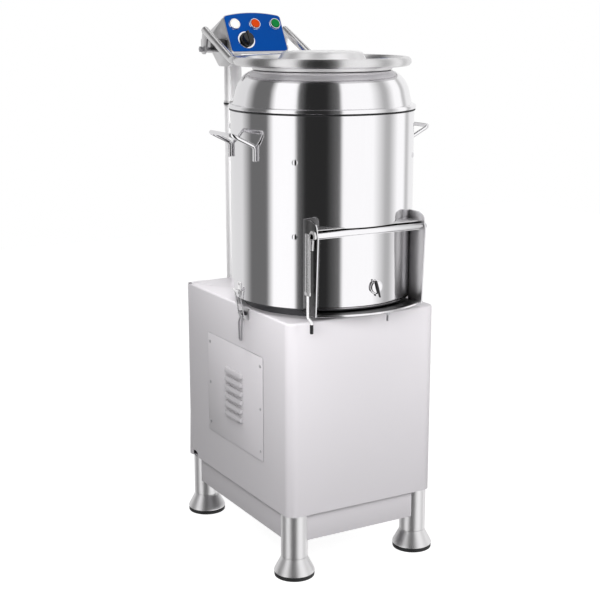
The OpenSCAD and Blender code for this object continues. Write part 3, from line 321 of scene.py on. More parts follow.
def round_corners(points, radii, steps=8, closed=True):
    """Points of a 2D or 3D path with arcs in its corners.
    At a corner with unit directions a and b to its neighbours and half angle h = acos(a.b)/2, the arc starts
    radius/tan(h) along a, ends as far along b, and its centre lies radius/sin(h) along a+b."""
    points = [np.array(p, float) for p in points]
    count = len(points)
    radii = [radii] * count if np.isscalar(radii) else radii
    path = []
    for i in range(count):
        here, radius = points[i], radii[i]
        if radius <= 0 or (not closed and i in (0, count - 1)):
            path.append(here)
            continue
        a, b = points[i - 1] - here, points[(i + 1) % count] - here
        a, b = a / np.linalg.norm(a), b / np.linalg.norm(b)
        half = np.arccos(np.clip(a @ b, -1, 1)) / 2
        middle = (a + b) / np.linalg.norm(a + b)
        centre = here + middle * radius / sin(half)
        start = here + a * radius / tan(half) - centre
        end = here + b * radius / tan(half) - centre
        sweep = pi - 2 * half
        for t in np.linspace(0, 1, steps + 1):
            path.append(centre + (start * sin((1 - t) * sweep) + end * sin(t * sweep)) / sin(sweep))
    return np.array(path)


def make_mesh(name, points, faces, material, sharp=35):
    """Object from points in millimetres about the drum's axis; smooth, with sharp edges above an angle and
    along open borders, which have one face only."""
    mesh = bpy.data.meshes.new(name)
    points = np.asarray(points, float) * 0.001 + np.array([0, AXIS_Y, 0])
    mesh.from_pydata(points.tolist(), [], [tuple(int(i) for i in f) for f in faces])
    mesh.polygons.foreach_set("use_smooth", np.ones(len(mesh.polygons), bool))
    mesh.set_sharp_from_angle(angle=radians(sharp))
    used = np.zeros(len(mesh.loops), int)
    mesh.loops.foreach_get("edge_index", used)
    border = np.bincount(used, minlength=len(mesh.edges)) == 1
    if border.any():
        edge_sharp = np.zeros(len(mesh.edges), bool)
        mesh.edges.foreach_get("use_edge_sharp", edge_sharp)
        mesh.edges.foreach_set("use_edge_sharp", edge_sharp | border)
    mesh.materials.append(material)
    mesh.update()
    return add_object(name, mesh)


def grid_faces(rows, columns, round_rows=False, round_columns=False):
    """Quads of a grid of points, row after row; it may close on itself either way."""
    r = np.arange(rows if round_rows else rows - 1)
    c = np.arange(columns if round_columns else columns - 1)
    r, c = np.meshgrid(r, c, indexing="ij")
    r1, c1 = (r + 1) % rows, (c + 1) % columns
    quads = np.stack([r * columns + c, r * columns + c1, r1 * columns + c1, r1 * columns + c], -1)
    return quads.reshape(-1, 4)


def capped_faces(rows, columns):
    """Faces of a tube made of rings of points, with a cap at each end."""
    last = (rows - 1) * columns
    caps = [tuple(range(columns))[::-1], tuple(range(last, last + columns))]
    return list(grid_faces(rows, columns, False, True)) + caps


def lathe(name, profile, material, centre=(0, 0), segments=160):
    """Turned piece: a closed outline of (radius, height) pairs swept round an upright axis."""
    profile = np.asarray(profile, float)
    turn = np.linspace(0, 2 * pi, segments, endpoint=False)
    ring = np.stack([np.cos(turn), np.sin(turn)], -1)
    points = np.zeros((segments, len(profile), 3))
    points[:, :, 0] = ring[:, :1] * profile[:, 0] + centre[0]
    points[:, :, 1] = ring[:, 1:] * profile[:, 0] + centre[1]
    points[:, :, 2] = profile[:, 1]
    return make_mesh(name, points.reshape(-1, 3), grid_faces(segments, len(profile), True, True), material)


XY, XZ, YZ = (0, 1, 2), (0, 2, 1), (1, 2, 0)


def prism(name, outline, low, high, material, edge=0.6, axes=XY):
    """Plate between two heights with a small rounded edge; axes says where its x, y and thickness point."""
    outline = np.asarray(outline, float)
    if np.sum(outline[:, 0] * np.roll(outline[:, 1], -1) - np.roll(outline[:, 0], -1) * outline[:, 1]) < 0:
        outline = outline[::-1]
    ahead, behind = np.roll(outline, -1, 0) - outline, outline - np.roll(outline, 1, 0)
    normal = ahead / np.linalg.norm(ahead, axis=1)[:, None] + behind / np.linalg.norm(behind, axis=1)[:, None]
    inwards = np.stack([-normal[:, 1], normal[:, 0]], -1) / np.linalg.norm(normal, axis=1)[:, None]
    rings = []
    for t in (0, pi / 4, pi / 2):
        rings.append((low + edge * (1 - sin(t)), edge * (1 - cos(t))))
    levels = rings[::-1] + [(low + high - z, inset) for z, inset in rings]
    points = np.zeros((len(levels), len(outline), 3))
    for k, (z, inset) in enumerate(levels):
        points[k, :, :2] = outline + inwards * inset
        points[k, :, 2] = z
    moved = np.zeros((points.shape[0] * points.shape[1], 3))
    moved[:, axes] = points.reshape(-1, 3)
    plate = make_mesh(name, moved, capped_faces(len(levels), len(outline)), material)
    if axes == XZ:
        plate.data.flip_normals()
    return plate


def thicken(piece, thickness):
    """Gives a surface the thickness of its sheet, inwards."""
    sheet = piece.modifiers.new("sheet", "SOLIDIFY")
    sheet.thickness = thickness / 1000
    sheet.offset = -1


def fit(pieces, body, *replaced):
    """Gives pieces to a body of the frame and lets them stand in for its nodes."""
    for piece in pieces:
        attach(piece, body)
        for node in replaced:
            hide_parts(node)


CAB_X, CAB_FRONT, CAB_BACK, CAB_LOW, CAB_TOP = 190.0, -184.0, 326.0, 147.0, 585.0
CAB_BEND, CAB_ROLL, SHEET = 22.0, 5.0, 2.5
PANEL_Y, PANEL_Z, OVERLAP = (-69.0, 208.0), (243.0, 486.0), 14.0
NOTCH_BACK, NOTCH_FRONT, NOTCH_SLANT, NOTCH_TOP = 317.0, 273.0, 284.0, 161.0


def cabinet_outline(inset):
    """Outline of the wall from above, with extra points on the left side for its opening and its notch."""
    x = CAB_X - inset
    path = round_corners(rectangle(-x, CAB_FRONT + inset, x, CAB_BACK - inset), CAB_BEND - inset, 10)
    left = [(-x, y) for y in (NOTCH_BACK, NOTCH_FRONT, PANEL_Y[1] - OVERLAP, PANEL_Y[0] + OVERLAP)]
    return np.vstack([path, left])


ROLL_LOW = CAB_TOP - CAB_ROLL
levels = [(z, 0.0) for z in (CAB_LOW, NOTCH_TOP, PANEL_Z[0] + OVERLAP, PANEL_Z[1] - OVERLAP, ROLL_LOW)]
levels += [(ROLL_LOW + CAB_ROLL * sin(t), CAB_ROLL * (1 - cos(t))) for t in np.linspace(0, pi / 2, 7)[1:]]
rows = []
for z, inset in levels:
    ring = cabinet_outline(inset)
    rows.append(np.column_stack([ring, np.full(len(ring), z)]))
across = len(rows[0])
rows[1][across - 3, 1] = NOTCH_SLANT
polar = np.arctan2(rows[-1][:, 1], rows[-1][:, 0])
for radius in (170.0, 42.0):
    rows.append(np.column_stack([radius * np.cos(polar), radius * np.sin(polar), np.full(across, CAB_TOP)]))
faces = grid_faces(len(rows), across, False, True)
row, column = faces[:, 0] // across, faces[:, 0] % across
notch = (row == 0) & (column == across - 4)
opening = (row == 2) & (column == across - 2)
cabinet = make_mesh("cabinet", np.vstack(rows), faces[~(notch | opening)], cabinet_paint, 50)
thicken(cabinet, SHEET)
fit([cabinet], "machine", "cabinet_shell")


# Skirt: four straight strips of painted steel sheet below the cabinet. They stand back from its faces and end
# at the legs.
SKIRT_LOW, SKIRT_BACK, SKIRT_T = 85.0, 8.0, 2.5
LEG_X, LEG_FRONT, LEG_BACK, LEG_R = 159.0, -153.0, 295.0, 30.0
chord = sqrt(LEG_R ** 2 - (CAB_X - LEG_X - SKIRT_BACK) ** 2)
span, near, far = LEG_X - chord, LEG_FRONT + chord, LEG_BACK - chord
skirt_x, skirt_front, skirt_rear = CAB_X - SKIRT_BACK, CAB_FRONT + SKIRT_BACK, CAB_BACK - SKIRT_BACK
strips = [(-span, skirt_front, span, skirt_front + SKIRT_T), (-span, skirt_rear - SKIRT_T, span, skirt_rear),
          (-skirt_x, near, -skirt_x + SKIRT_T, far), (skirt_x - SKIRT_T, near, skirt_x, far)]
for i, strip in enumerate(strips):
    fit([prism("skirt_%d" % (i + 1), rectangle(*strip), SKIRT_LOW, CAB_LOW - 0.1, cabinet_paint)],
        "machine", "skirt")


# Legs: satin steel tubes under the cabinet's corners. Each ends in a turned bell foot that stands on a black
# rubber pad.
LEG_PLACES = [(-LEG_X, LEG_FRONT), (LEG_X, LEG_FRONT), (-LEG_X, LEG_BACK), (LEG_X, LEG_BACK)]
leg_profile = [(27.5, 46.2), (27.5, 146.5), (30, 146.5), (30, 47.5), (29.6, 46.6), (29, 46.2)]
bell_outline = [(0.1, 10.1), (45.2, 10.1), (46, 12.5), (43.6, 18), (30.4, 43), (29.6, 46), (0.1, 46)]
bell_outline = round_corners(bell_outline, [0, 0.8, 1.5, 6, 9, 0.4, 0], 6)
pad_outline = [(0.1, 0), (42, 0), (45, 1.2), (45.3, 7.5), (44, 10), (0.1, 10)]
pad_outline = round_corners(pad_outline, [0, 2, 1.5, 1.5, 1, 0], 4)
for i, spot in enumerate(LEG_PLACES):
    for name, profile, material, node in (("leg_tube", leg_profile, satin, "leg_%d" % (i + 1)),
                                          ("bell", bell_outline, satin, "foot_bells"),
                                          ("pad", pad_outline, rubber, "foot_pads")):
        fit([lathe("%s_%d" % (name, i + 1), profile, material, spot, 72)], "machine", node)


# Access panel: thin painted plate on the left side with six pressed louvres that open downwards. A grey plate
# behind it shows round its edge as a painted shadow line. A black sheet behind each louvre's mouth is painted
# shade, and so is the louvres' darker paint.
PANEL_T, LOUVRE_L, LOUVRE_OUT, LOUVRE_PITCH = 1.5, 84.0, 7.0, 20.8
panel_x = -CAB_X - PANEL_T
y0, y1 = PANEL_Y
z0, z1 = PANEL_Z
mid_y, mid_z = (y0 + y1) / 2, (z0 + z1) / 2
# The grey plate below shows this far round the access plate, as a painted shadow line.
SHADOW_LINE_W = 0.8
shadow_line_outline = round_corners(rectangle(y0, z0, y1, z1), 3, 5)
shadow_line_plate = prism("access_shadow_line", shadow_line_outline, -CAB_X - 0.7, -CAB_X - 0.05, zinc, 0.1, YZ)
plate_outline = round_corners(rectangle(y0 + SHADOW_LINE_W, z0 + SHADOW_LINE_W, y1 - SHADOW_LINE_W, z1 - SHADOW_LINE_W), 2.4, 5)
panel = prism("access_plate", plate_outline, panel_x, -CAB_X - 0.6, cabinet_paint, 0.3, YZ)
fit([shadow_line_plate, panel], "machine", "access_panel")
along = np.linspace(-1, 1, 41)
up = np.linspace(0, 1, 15)
ends = np.clip((1 - np.abs(along)) * LOUVRE_L / 2 / 7.0, 0, 1)
ends = np.sqrt(1 - (1 - ends) ** 2)
swell = np.cos(up * 0.999 * pi / 2) ** 0.5
for i in range(6):
    height = (mid_z - LOUVRE_PITCH * 2.5 - LOUVRE_OUT / 2 + i * LOUVRE_PITCH) + up * 11.0
    points = np.zeros((len(up), len(along), 3))
    points[:, :, 0] = panel_x - 0.05 - LOUVRE_OUT * 0.92 * swell[:, None] * ends[None, :]
    points[:, :, 1] = mid_y + along * LOUVRE_L / 2
    points[:, :, 2] = height[:, None]
    # The louvres take the darker copy of the cabinet's paint as painted shade.
    louvre = make_mesh("louvre_%d" % (i + 1), points.reshape(-1, 3), grid_faces(len(up), len(along)),
                       louvre_shade_paint, 60)
    thicken(louvre, 0.9)
    fit([louvre], "machine", "access_panel")
    # A flat black sheet behind the louvre's mouth: painted shade for the dark inside.
    mouth_shade = rectangle(mid_y - LOUVRE_L / 2 + 5, height[0] + 0.5, mid_y + LOUVRE_L / 2 - 5, height[0] + 6)
    mouth_shade = [(panel_x - 0.06, y, z) for y, z in mouth_shade]
    fit([make_mesh("louvre_slot_%d" % (i + 1), mouth_shade, [(0, 3, 2, 1)], rubber)], "machine")


# Drum: rolled and polished steel sheet with the discharge opening in front. A closed foot ring stands on the
# pan's flange.
DRUM_R, DRUM_T, PAN_TOP, DRUM_TOP = 205.0, 2.5, 607.0, 1018.0
CHUTE_HALF, OPEN_TOP = 134.5, 782.0
half_open = degrees(np.arcsin(CHUTE_HALF / DRUM_R))


def barrel(name, first, last, z0, z1, radius, material, closed=False):
    """Upright rolled sheet from one angle to another, in degrees from the front (-Y) towards +X."""
    turn = np.radians(np.linspace(first, last, 181)[:180 if closed else 181])
    section = np.array([(radius, z0), (radius, z1), (radius - DRUM_T, z1), (radius - DRUM_T, z0)])
    points = np.zeros((len(turn), 4, 3))
    points[:, :, 0] = np.sin(turn)[:, None] * section[:, 0]
    points[:, :, 1] = -np.cos(turn)[:, None] * section[:, 0]
    points[:, :, 2] = section[:, 1]
    faces = grid_faces(len(turn), 4, True, True) if closed else capped_faces(len(turn), 4)
    return make_mesh(name, points.reshape(-1, 3), faces, material)


upper = barrel("drum_upper", 0, 360, OPEN_TOP, DRUM_TOP, DRUM_R, polished, True)
lower = barrel("drum_lower", half_open, 360 - half_open, PAN_TOP + 2.5, OPEN_TOP, DRUM_R, polished)
foot_ring = lathe("drum_foot", rectangle(190, PAN_TOP + 0.1, DRUM_R, PAN_TOP + 2.5), polished)
fit([upper, lower, foot_ring], "machine", "drum_shell")


# Rim gasket: black rubber ring between drum and hood. Hood: spun and polished steel with a beaded edge, a
# steep side, a round shoulder and a rolled mouth.
GASKET_T, HOOD_TOP = 2.5, 1108.0
gasket = [(199, DRUM_TOP + 0.05), (206.8, DRUM_TOP + 0.05), (207.5, DRUM_TOP + 1.2), (206.8, DRUM_TOP + 2.45),
          (199, DRUM_TOP + 2.45)]
fit([lathe("rim_gasket_ring", gasket, rubber)], "machine", "rim_gasket")
hood_low = DRUM_TOP + GASKET_T
MOUTH_R, SHOULDER, HOOD_T, LEAN_IN = 134.0, 60.0, 2.0, radians(12)
arc = np.linspace(LEAN_IN, pi / 2, 25)
side_r, side_z = MOUTH_R + SHOULDER * cos(LEAN_IN), HOOD_TOP - SHOULDER + SHOULDER * sin(LEAN_IN)
foot_r = side_r + (side_z - hood_low - 11) * tan(LEAN_IN)
outer = [(205.6, hood_low + 0.1)]
outer += [(203.5 + 5.5 * cos(t), hood_low + 5.5 + 5.4 * sin(t)) for t in np.linspace(-1.1, 1.25, 14)]
outer += [(foot_r + 1.6, hood_low + 11.2), (foot_r, hood_low + 13)]
outer += [(MOUTH_R + SHOULDER * cos(t), HOOD_TOP - SHOULDER + SHOULDER * sin(t)) for t in arc]
outer += [(128 + 3 * cos(t), HOOD_TOP - 3 + 3 * sin(t)) for t in np.linspace(pi / 2, 1.45 * pi, 9)]
inner_r = SHOULDER - HOOD_T
inner = [(MOUTH_R + inner_r * cos(t), HOOD_TOP - SHOULDER + inner_r * sin(t)) for t in arc[::-1]]
hood = lathe("hood_shell", outer + inner + [(199.1, hood_low + 0.1)], polished, segments=200)
fit([hood], "machine", "hood")


# Handles: one bent and polished steel rod on each side of the drum. Its two feet run upright along the drum's
# wall, where they are welded on.
def sweep(name, path, radius, material, sides=20, edge=0.35):
    """Round rod along an open path of points, its ends rounded by a share of the radius.
    The section's frame is carried along the path with the smallest turn from point to point."""
    path = np.asarray(path, float)
    t, cut = np.linspace(0, pi / 2, 4), edge * radius
    first, last = path[1] - path[0], path[-2] - path[-1]
    step = (cut * (1 - np.cos(t)))[:, None]
    path = np.vstack([path[0] + step * first / np.linalg.norm(first), path[1:-1],
                      path[-1] + step[::-1] * last / np.linalg.norm(last)])
    rim = radius - cut * (1 - np.sin(t))
    thick = np.hstack([rim, np.full(len(path) - 8, float(radius)), rim[::-1]])
    ahead = np.roll(path, -1, 0) - path
    ahead[-1] = ahead[-2]
    ahead /= np.linalg.norm(ahead, axis=1)[:, None]
    behind = np.roll(ahead, 1, 0)
    behind[0] = ahead[0]
    tangent = ahead + behind
    tangent /= np.linalg.norm(tangent, axis=1)[:, None]
    side = np.zeros_like(path)
    side[0] = np.cross(tangent[0], (0, 0, 1) if abs(tangent[0][2]) < 0.9 else (1, 0, 0))
    side[0] /= np.linalg.norm(side[0])
    for i in range(1, len(path)):
        side[i] = side[i - 1] - tangent[i] * (side[i - 1] @ tangent[i])
        side[i] /= np.linalg.norm(side[i])
    up = np.cross(tangent, side)
    turn = np.linspace(0, 2 * pi, sides, endpoint=False)[None, :, None]
    points = path[:, None, :] + thick[:, None, None] * (side[:, None, :] * np.cos(turn)
                                                        + up[:, None, :] * np.sin(turn))
    return make_mesh(name, points.reshape(-1, 3), capped_faces(len(path), sides), material, 50)


HANDLE_HALF, HANDLE_R, GRIP_X = 57.0, 4.5, 252.0
foot_x = sqrt((DRUM_R + HANDLE_R) ** 2 - HANDLE_HALF ** 2)
for side, label in ((-1, "left"), (1, "right")):
    corners = [(foot_x, -HANDLE_HALF, 918), (foot_x, -HANDLE_HALF, 950), (GRIP_X, -HANDLE_HALF, 975),
               (GRIP_X, HANDLE_HALF, 975), (foot_x, HANDLE_HALF, 950), (foot_x, HANDLE_HALF, 918)]
    path = round_corners(corners, [0, 9, 12, 12, 9, 0], 6, False) * (side, 1, 1)
    fit([sweep("handle_" + label, path, HANDLE_R, polished)], "machine", "handles")


# Domed screws: polished steel heads that hold the abrasive lining from outside. Each is placed by its angle
# about the drum's axis and its height.
def turned(name, profile, material, at, along, segments=40):
    """Turned piece on an axis through a point: the profile gives (radius, distance along the axis)."""
    profile = np.asarray(profile, float)
    along = np.asarray(along, float) / np.linalg.norm(along)
    side = np.cross(along, (0, 0, 1) if abs(along[2]) < 0.9 else (1, 0, 0))
    side /= np.linalg.norm(side)
    up = np.cross(along, side)
    turn = np.linspace(0, 2 * pi, segments, endpoint=False)
    ring = side[None, :] * np.cos(turn)[:, None] + up[None, :] * np.sin(turn)[:, None]
    points = (np.asarray(at, float) + ring[:, None, :] * profile[None, :, :1]
              + along[None, None, :] * profile[None, :, 1:])
    return make_mesh(name, points.reshape(-1, 3), grid_faces(segments, len(profile), True, True), material)


dome = [(0.05, 0), (6.3, 0), (6.5, 0.3)]
dome += [(6.5 * cos(t), 0.3 + 2.7 * sin(t)) for t in np.linspace(0.2, 1.45, 7)] + [(0.05, 3.0)]
SCREWS = [(223, 763), (223, 921), (317, 763), (317, 921), (152, 981), (28, 981), (90, 763), (90, 921)]
for i, (angle_deg, height) in enumerate(SCREWS):
    out = np.array([cos(radians(angle_deg)), sin(radians(angle_deg)), 0])
    head = turned("dome_screw_%d" % (i + 1), dome, polished, out * (DRUM_R - 0.2) + (0, 0, height), out)
    fit([head], "machine", "liner_screws")


# Discharge chute: two upright steel cheeks welded to the drum, each with a round nose and an ear for the
# hinge bar, two small roof plates beside the drum, and a floor with a rolled lip. The cheeks' edges are
# polished. Their broad faces are satin on the right cheek and near-black steel on the left one, which is
# painted shade. The floor plate is the same near-black steel, also painted shade.
def arc_points(centre, radius, first, last, steps):
    """Points of an arc from one angle to another, in degrees."""
    t = np.radians(np.linspace(first, last, steps))
    return [(centre[0] + radius * cos(a), centre[1] + radius * sin(a)) for a in t]


CHEEK_T, CHEEK_LOW, CHEEK_TOP, BAR_Y, BAR_Z, BAR_R, LIP_R = 3.0, 598.5, 803.0, -204.0, 773.0, 6.5, 240.0
cheek = [(-153.4, CHEEK_LOW), (-153.4, CHEEK_TOP), (-189, CHEEK_TOP), (-208, 796), (-214.6, 768),
         (-206, CHEEK_LOW)]
cheek = round_corners(cheek, [0, 0, 14, 12, 14, 2], 7)
roof = [(60.4, -196.0), (CHUTE_HALF, -196.0)]
roof += arc_points((0, 0), DRUM_R + 0.1, degrees(atan2(-154.7, CHUTE_HALF)), degrees(atan2(-195.9, 60.4)), 12)
for side, label in ((-1, "left"), (1, "right")):
    x0, x1 = sorted((side * CHUTE_HALF, side * (CHUTE_HALF + CHEEK_T)))
    plate = prism("cheek_" + label, cheek, x0, x1, polished, 0.5, YZ)
    # The left cheek's broad faces take the near-black steel as painted shade.
    plate.data.materials.append(painted_shade_steel if side < 0 else satin)
    normals = np.zeros(len(plate.data.polygons) * 3)
    plate.data.polygons.foreach_get("normal", normals)
    plate.data.polygons.foreach_set("material_index", (np.abs(normals[::3]) > 0.95).astype(int))
    cover = prism("chute_roof_" + label, [(side * x, y) for x, y in roof], OPEN_TOP, OPEN_TOP + 2, satin, 0.4)
    fit([plate, cover], "machine", "chute_cheeks")
FLOOR_R, FLOOR_BACK = LIP_R - 2.2, 178
reach, inside = degrees(np.arcsin(CHUTE_HALF / FLOOR_R)), degrees(np.arcsin(CHUTE_HALF / FLOOR_BACK))
floor_outline = arc_points((0, 0), FLOOR_R, -90 - reach, -90 + reach, 41)
floor_outline += arc_points((0, 0), FLOOR_BACK, -90 + inside, -90 - inside, 41)
# The floor plate's near-black steel is painted shade under the door.
chute_plate = prism("chute_plate", floor_outline, CHEEK_LOW, CHEEK_LOW + 2.5, painted_shade_steel, 0.3)
lip_path = [(x, y, CHEEK_LOW + 1.25) for x, y in arc_points((0, 0), FLOOR_R, -90 - reach, -90 + reach, 49)]
lip = sweep("chute_lip", lip_path, 2.2, polished, 14)
fit([chute_plate, lip], "machine", "chute_floor")


# Lip stud: zinc plated screw with a hexagonal nut. It points down from under the chute's floor, just behind
# the lip.
def hexagon(name, centre, across, low, high, material, axes=XY):
    """Hexagonal nut between two heights; across is its radius over the corners."""
    turns = np.radians(np.arange(6) * 60)
    corners = [(centre[0] + across * cos(a), centre[1] + across * sin(a)) for a in turns]
    return prism(name, corners, low, high, material, 0.7, axes)


stud_turns = np.linspace(576.6, 590.0, 19)
thread = [(0.05, 576.6)] + [(2.6 if i % 2 else 3.0, z) for i, z in enumerate(stud_turns)]
thread += [(3, 598.4), (0.05, 598.4)]
stud = lathe("lip_stud_thread", thread, zinc, (32, -227), 32)
fit([stud, hexagon("lip_stud_nut", (32, -227), 5.5, 590.6, 598.4, zinc)], "machine", "lip_stud")


# Door: curved and polished steel sheet in the discharge opening. A flat flange at its top joins it to the
# round hinge bar, which turns in the cheeks' ears.
DOOR_LOW, DOOR_TOP, DOOR_HALF = 611.0, 768.0, 133.5
half_door = degrees(np.arcsin(DOOR_HALF / DRUM_R))
leaf = barrel("door_leaf", -half_door, half_door, DOOR_LOW, DOOR_TOP - 0.1, DRUM_R, polished)
flange = [(-DOOR_HALF, BAR_Y), (DOOR_HALF, BAR_Y)]
flange += arc_points((0, 0), DRUM_R - DRUM_T, degrees(atan2(-152.2, DOOR_HALF)),
                     degrees(atan2(-152.2, -DOOR_HALF)), 41)
top_flange = prism("door_flange", flange, DOOR_TOP - 2.5, DOOR_TOP, polished, 0.3)
fit([leaf, top_flange], "door", "door_plate")
BAR_END = CHUTE_HALF + CHEEK_T + 8
bar_line = [(-BAR_END, BAR_Y, BAR_Z), (BAR_END - 3, BAR_Y, BAR_Z)]
fit([sweep("door_hinge_bar", bar_line, BAR_R, polished, 40, 0.15)], "door", "door_bar")


# Door lever: steel strap on the hinge bar's left end, a fork of two rods, a cross block and a thin kinked rod
# that ends in a black plastic sleeve.
LEVER_X, LEVER_Y, FORK_LOW = -BAR_END - 3.5, BAR_Y + 10, BAR_Z - 121
strap = arc_points((BAR_Y, BAR_Z), 12, 20, 200, 17)
strap += [(BAR_Y + y, BAR_Z + z) for y, z in ((-3, -8), (-1, -30), (21, -30), (21, 0))]
pieces = [prism("lever_strap", strap, -BAR_END, -BAR_END + 5, satin, 0.6, YZ)]
for i, y in enumerate((LEVER_Y - 5, LEVER_Y + 5)):
    fork = [(LEVER_X, y, BAR_Z + 5), (LEVER_X, y, FORK_LOW)]
    pieces.append(sweep("lever_fork_%d" % (i + 1), fork, 4.0, tube_steel, 28))
block = round_corners(rectangle(LEVER_X - 4.5, LEVER_Y - 9.5, LEVER_X + 4.5, LEVER_Y + 9.5), 3.5, 6)
pieces.append(prism("lever_block", block, FORK_LOW - 6, FORK_LOW + 2, tube_steel, 0.8))
ROD_Y = LEVER_Y - 16
rod = [(LEVER_X, LEVER_Y, FORK_LOW - 4), (LEVER_X, LEVER_Y, BAR_Z - 175), (LEVER_X, ROD_Y, BAR_Z - 183),
       (LEVER_X, ROD_Y, BAR_Z - 203)]
pieces.append(sweep("lever_rod", round_corners(rod, [0, 5, 5, 0], 6, False), 3.0, lid_steel, 24))
fit(pieces, "door", "door_lever")
sleeve = [(0.05, 0), (2.9, 0), (3.6, 0.5), (3.9, 1.6), (3.9, 19.4), (3.6, 20), (3.1, 20), (3.1, 5), (0.05, 5)]
sleeve = turned("lever_sleeve_cap", sleeve, black_plastic, (LEVER_X, ROD_Y, BAR_Z - 207), (0, 0, 1))
fit([sleeve], "door", "lever_sleeve")


# Turn latch in the door: stacked polished washers, a black plastic wing to turn it by, and on the same stem a
# zinc plated hook plate behind the sheet.
TURN_X, TURN_Z, FACE = 14.0, 650.0, DRUM_R + 0.4
front = (0, -1, 0)
washer = [(0.05, 0), (15.6, 0), (16, 0.5), (16, 2.3), (15.3, 3), (13.4, 3), (13, 3.4), (13, 5), (12.4, 5.5),
          (0.05, 5.5)]
boss = turned("turn_washer", washer, polished, (TURN_X, -FACE, TURN_Z), front, 64)
stem = [(0.05, 0), (4.8, 0), (5, 0.3), (5, 11), (0.05, 11)]
stem = turned("turn_stem", stem, zinc, (TURN_X, 10 - DRUM_R, TURN_Z), front)
tilt = radians(16)
leaf_shape = arc_points((0, 14.2), 1.8, 0, 180, 9) + arc_points((0, -2), 2.5, 170, 190, 3)
leaf_shape += arc_points((0, -22.6), 1.4, 180, 360, 9) + arc_points((0, -2), 2.5, -10, 10, 3)
wing_outline = [(TURN_X + x * cos(tilt) - z * sin(tilt), TURN_Z + x * sin(tilt) + z * cos(tilt))
                for x, z in leaf_shape]
wing = prism("turn_wing", wing_outline, -FACE - 10, -FACE - 5, black_plastic, 1.0, XZ)
hook_outline = rectangle(TURN_X - 5, TURN_Z - 38, TURN_X + 5, TURN_Z + 5)
hook = prism("turn_hook", hook_outline, 7 - DRUM_R, 10 - DRUM_R, zinc, 0.5, XZ)
fit([boss, stem, wing, hook], "door_catch", "turn_latch")


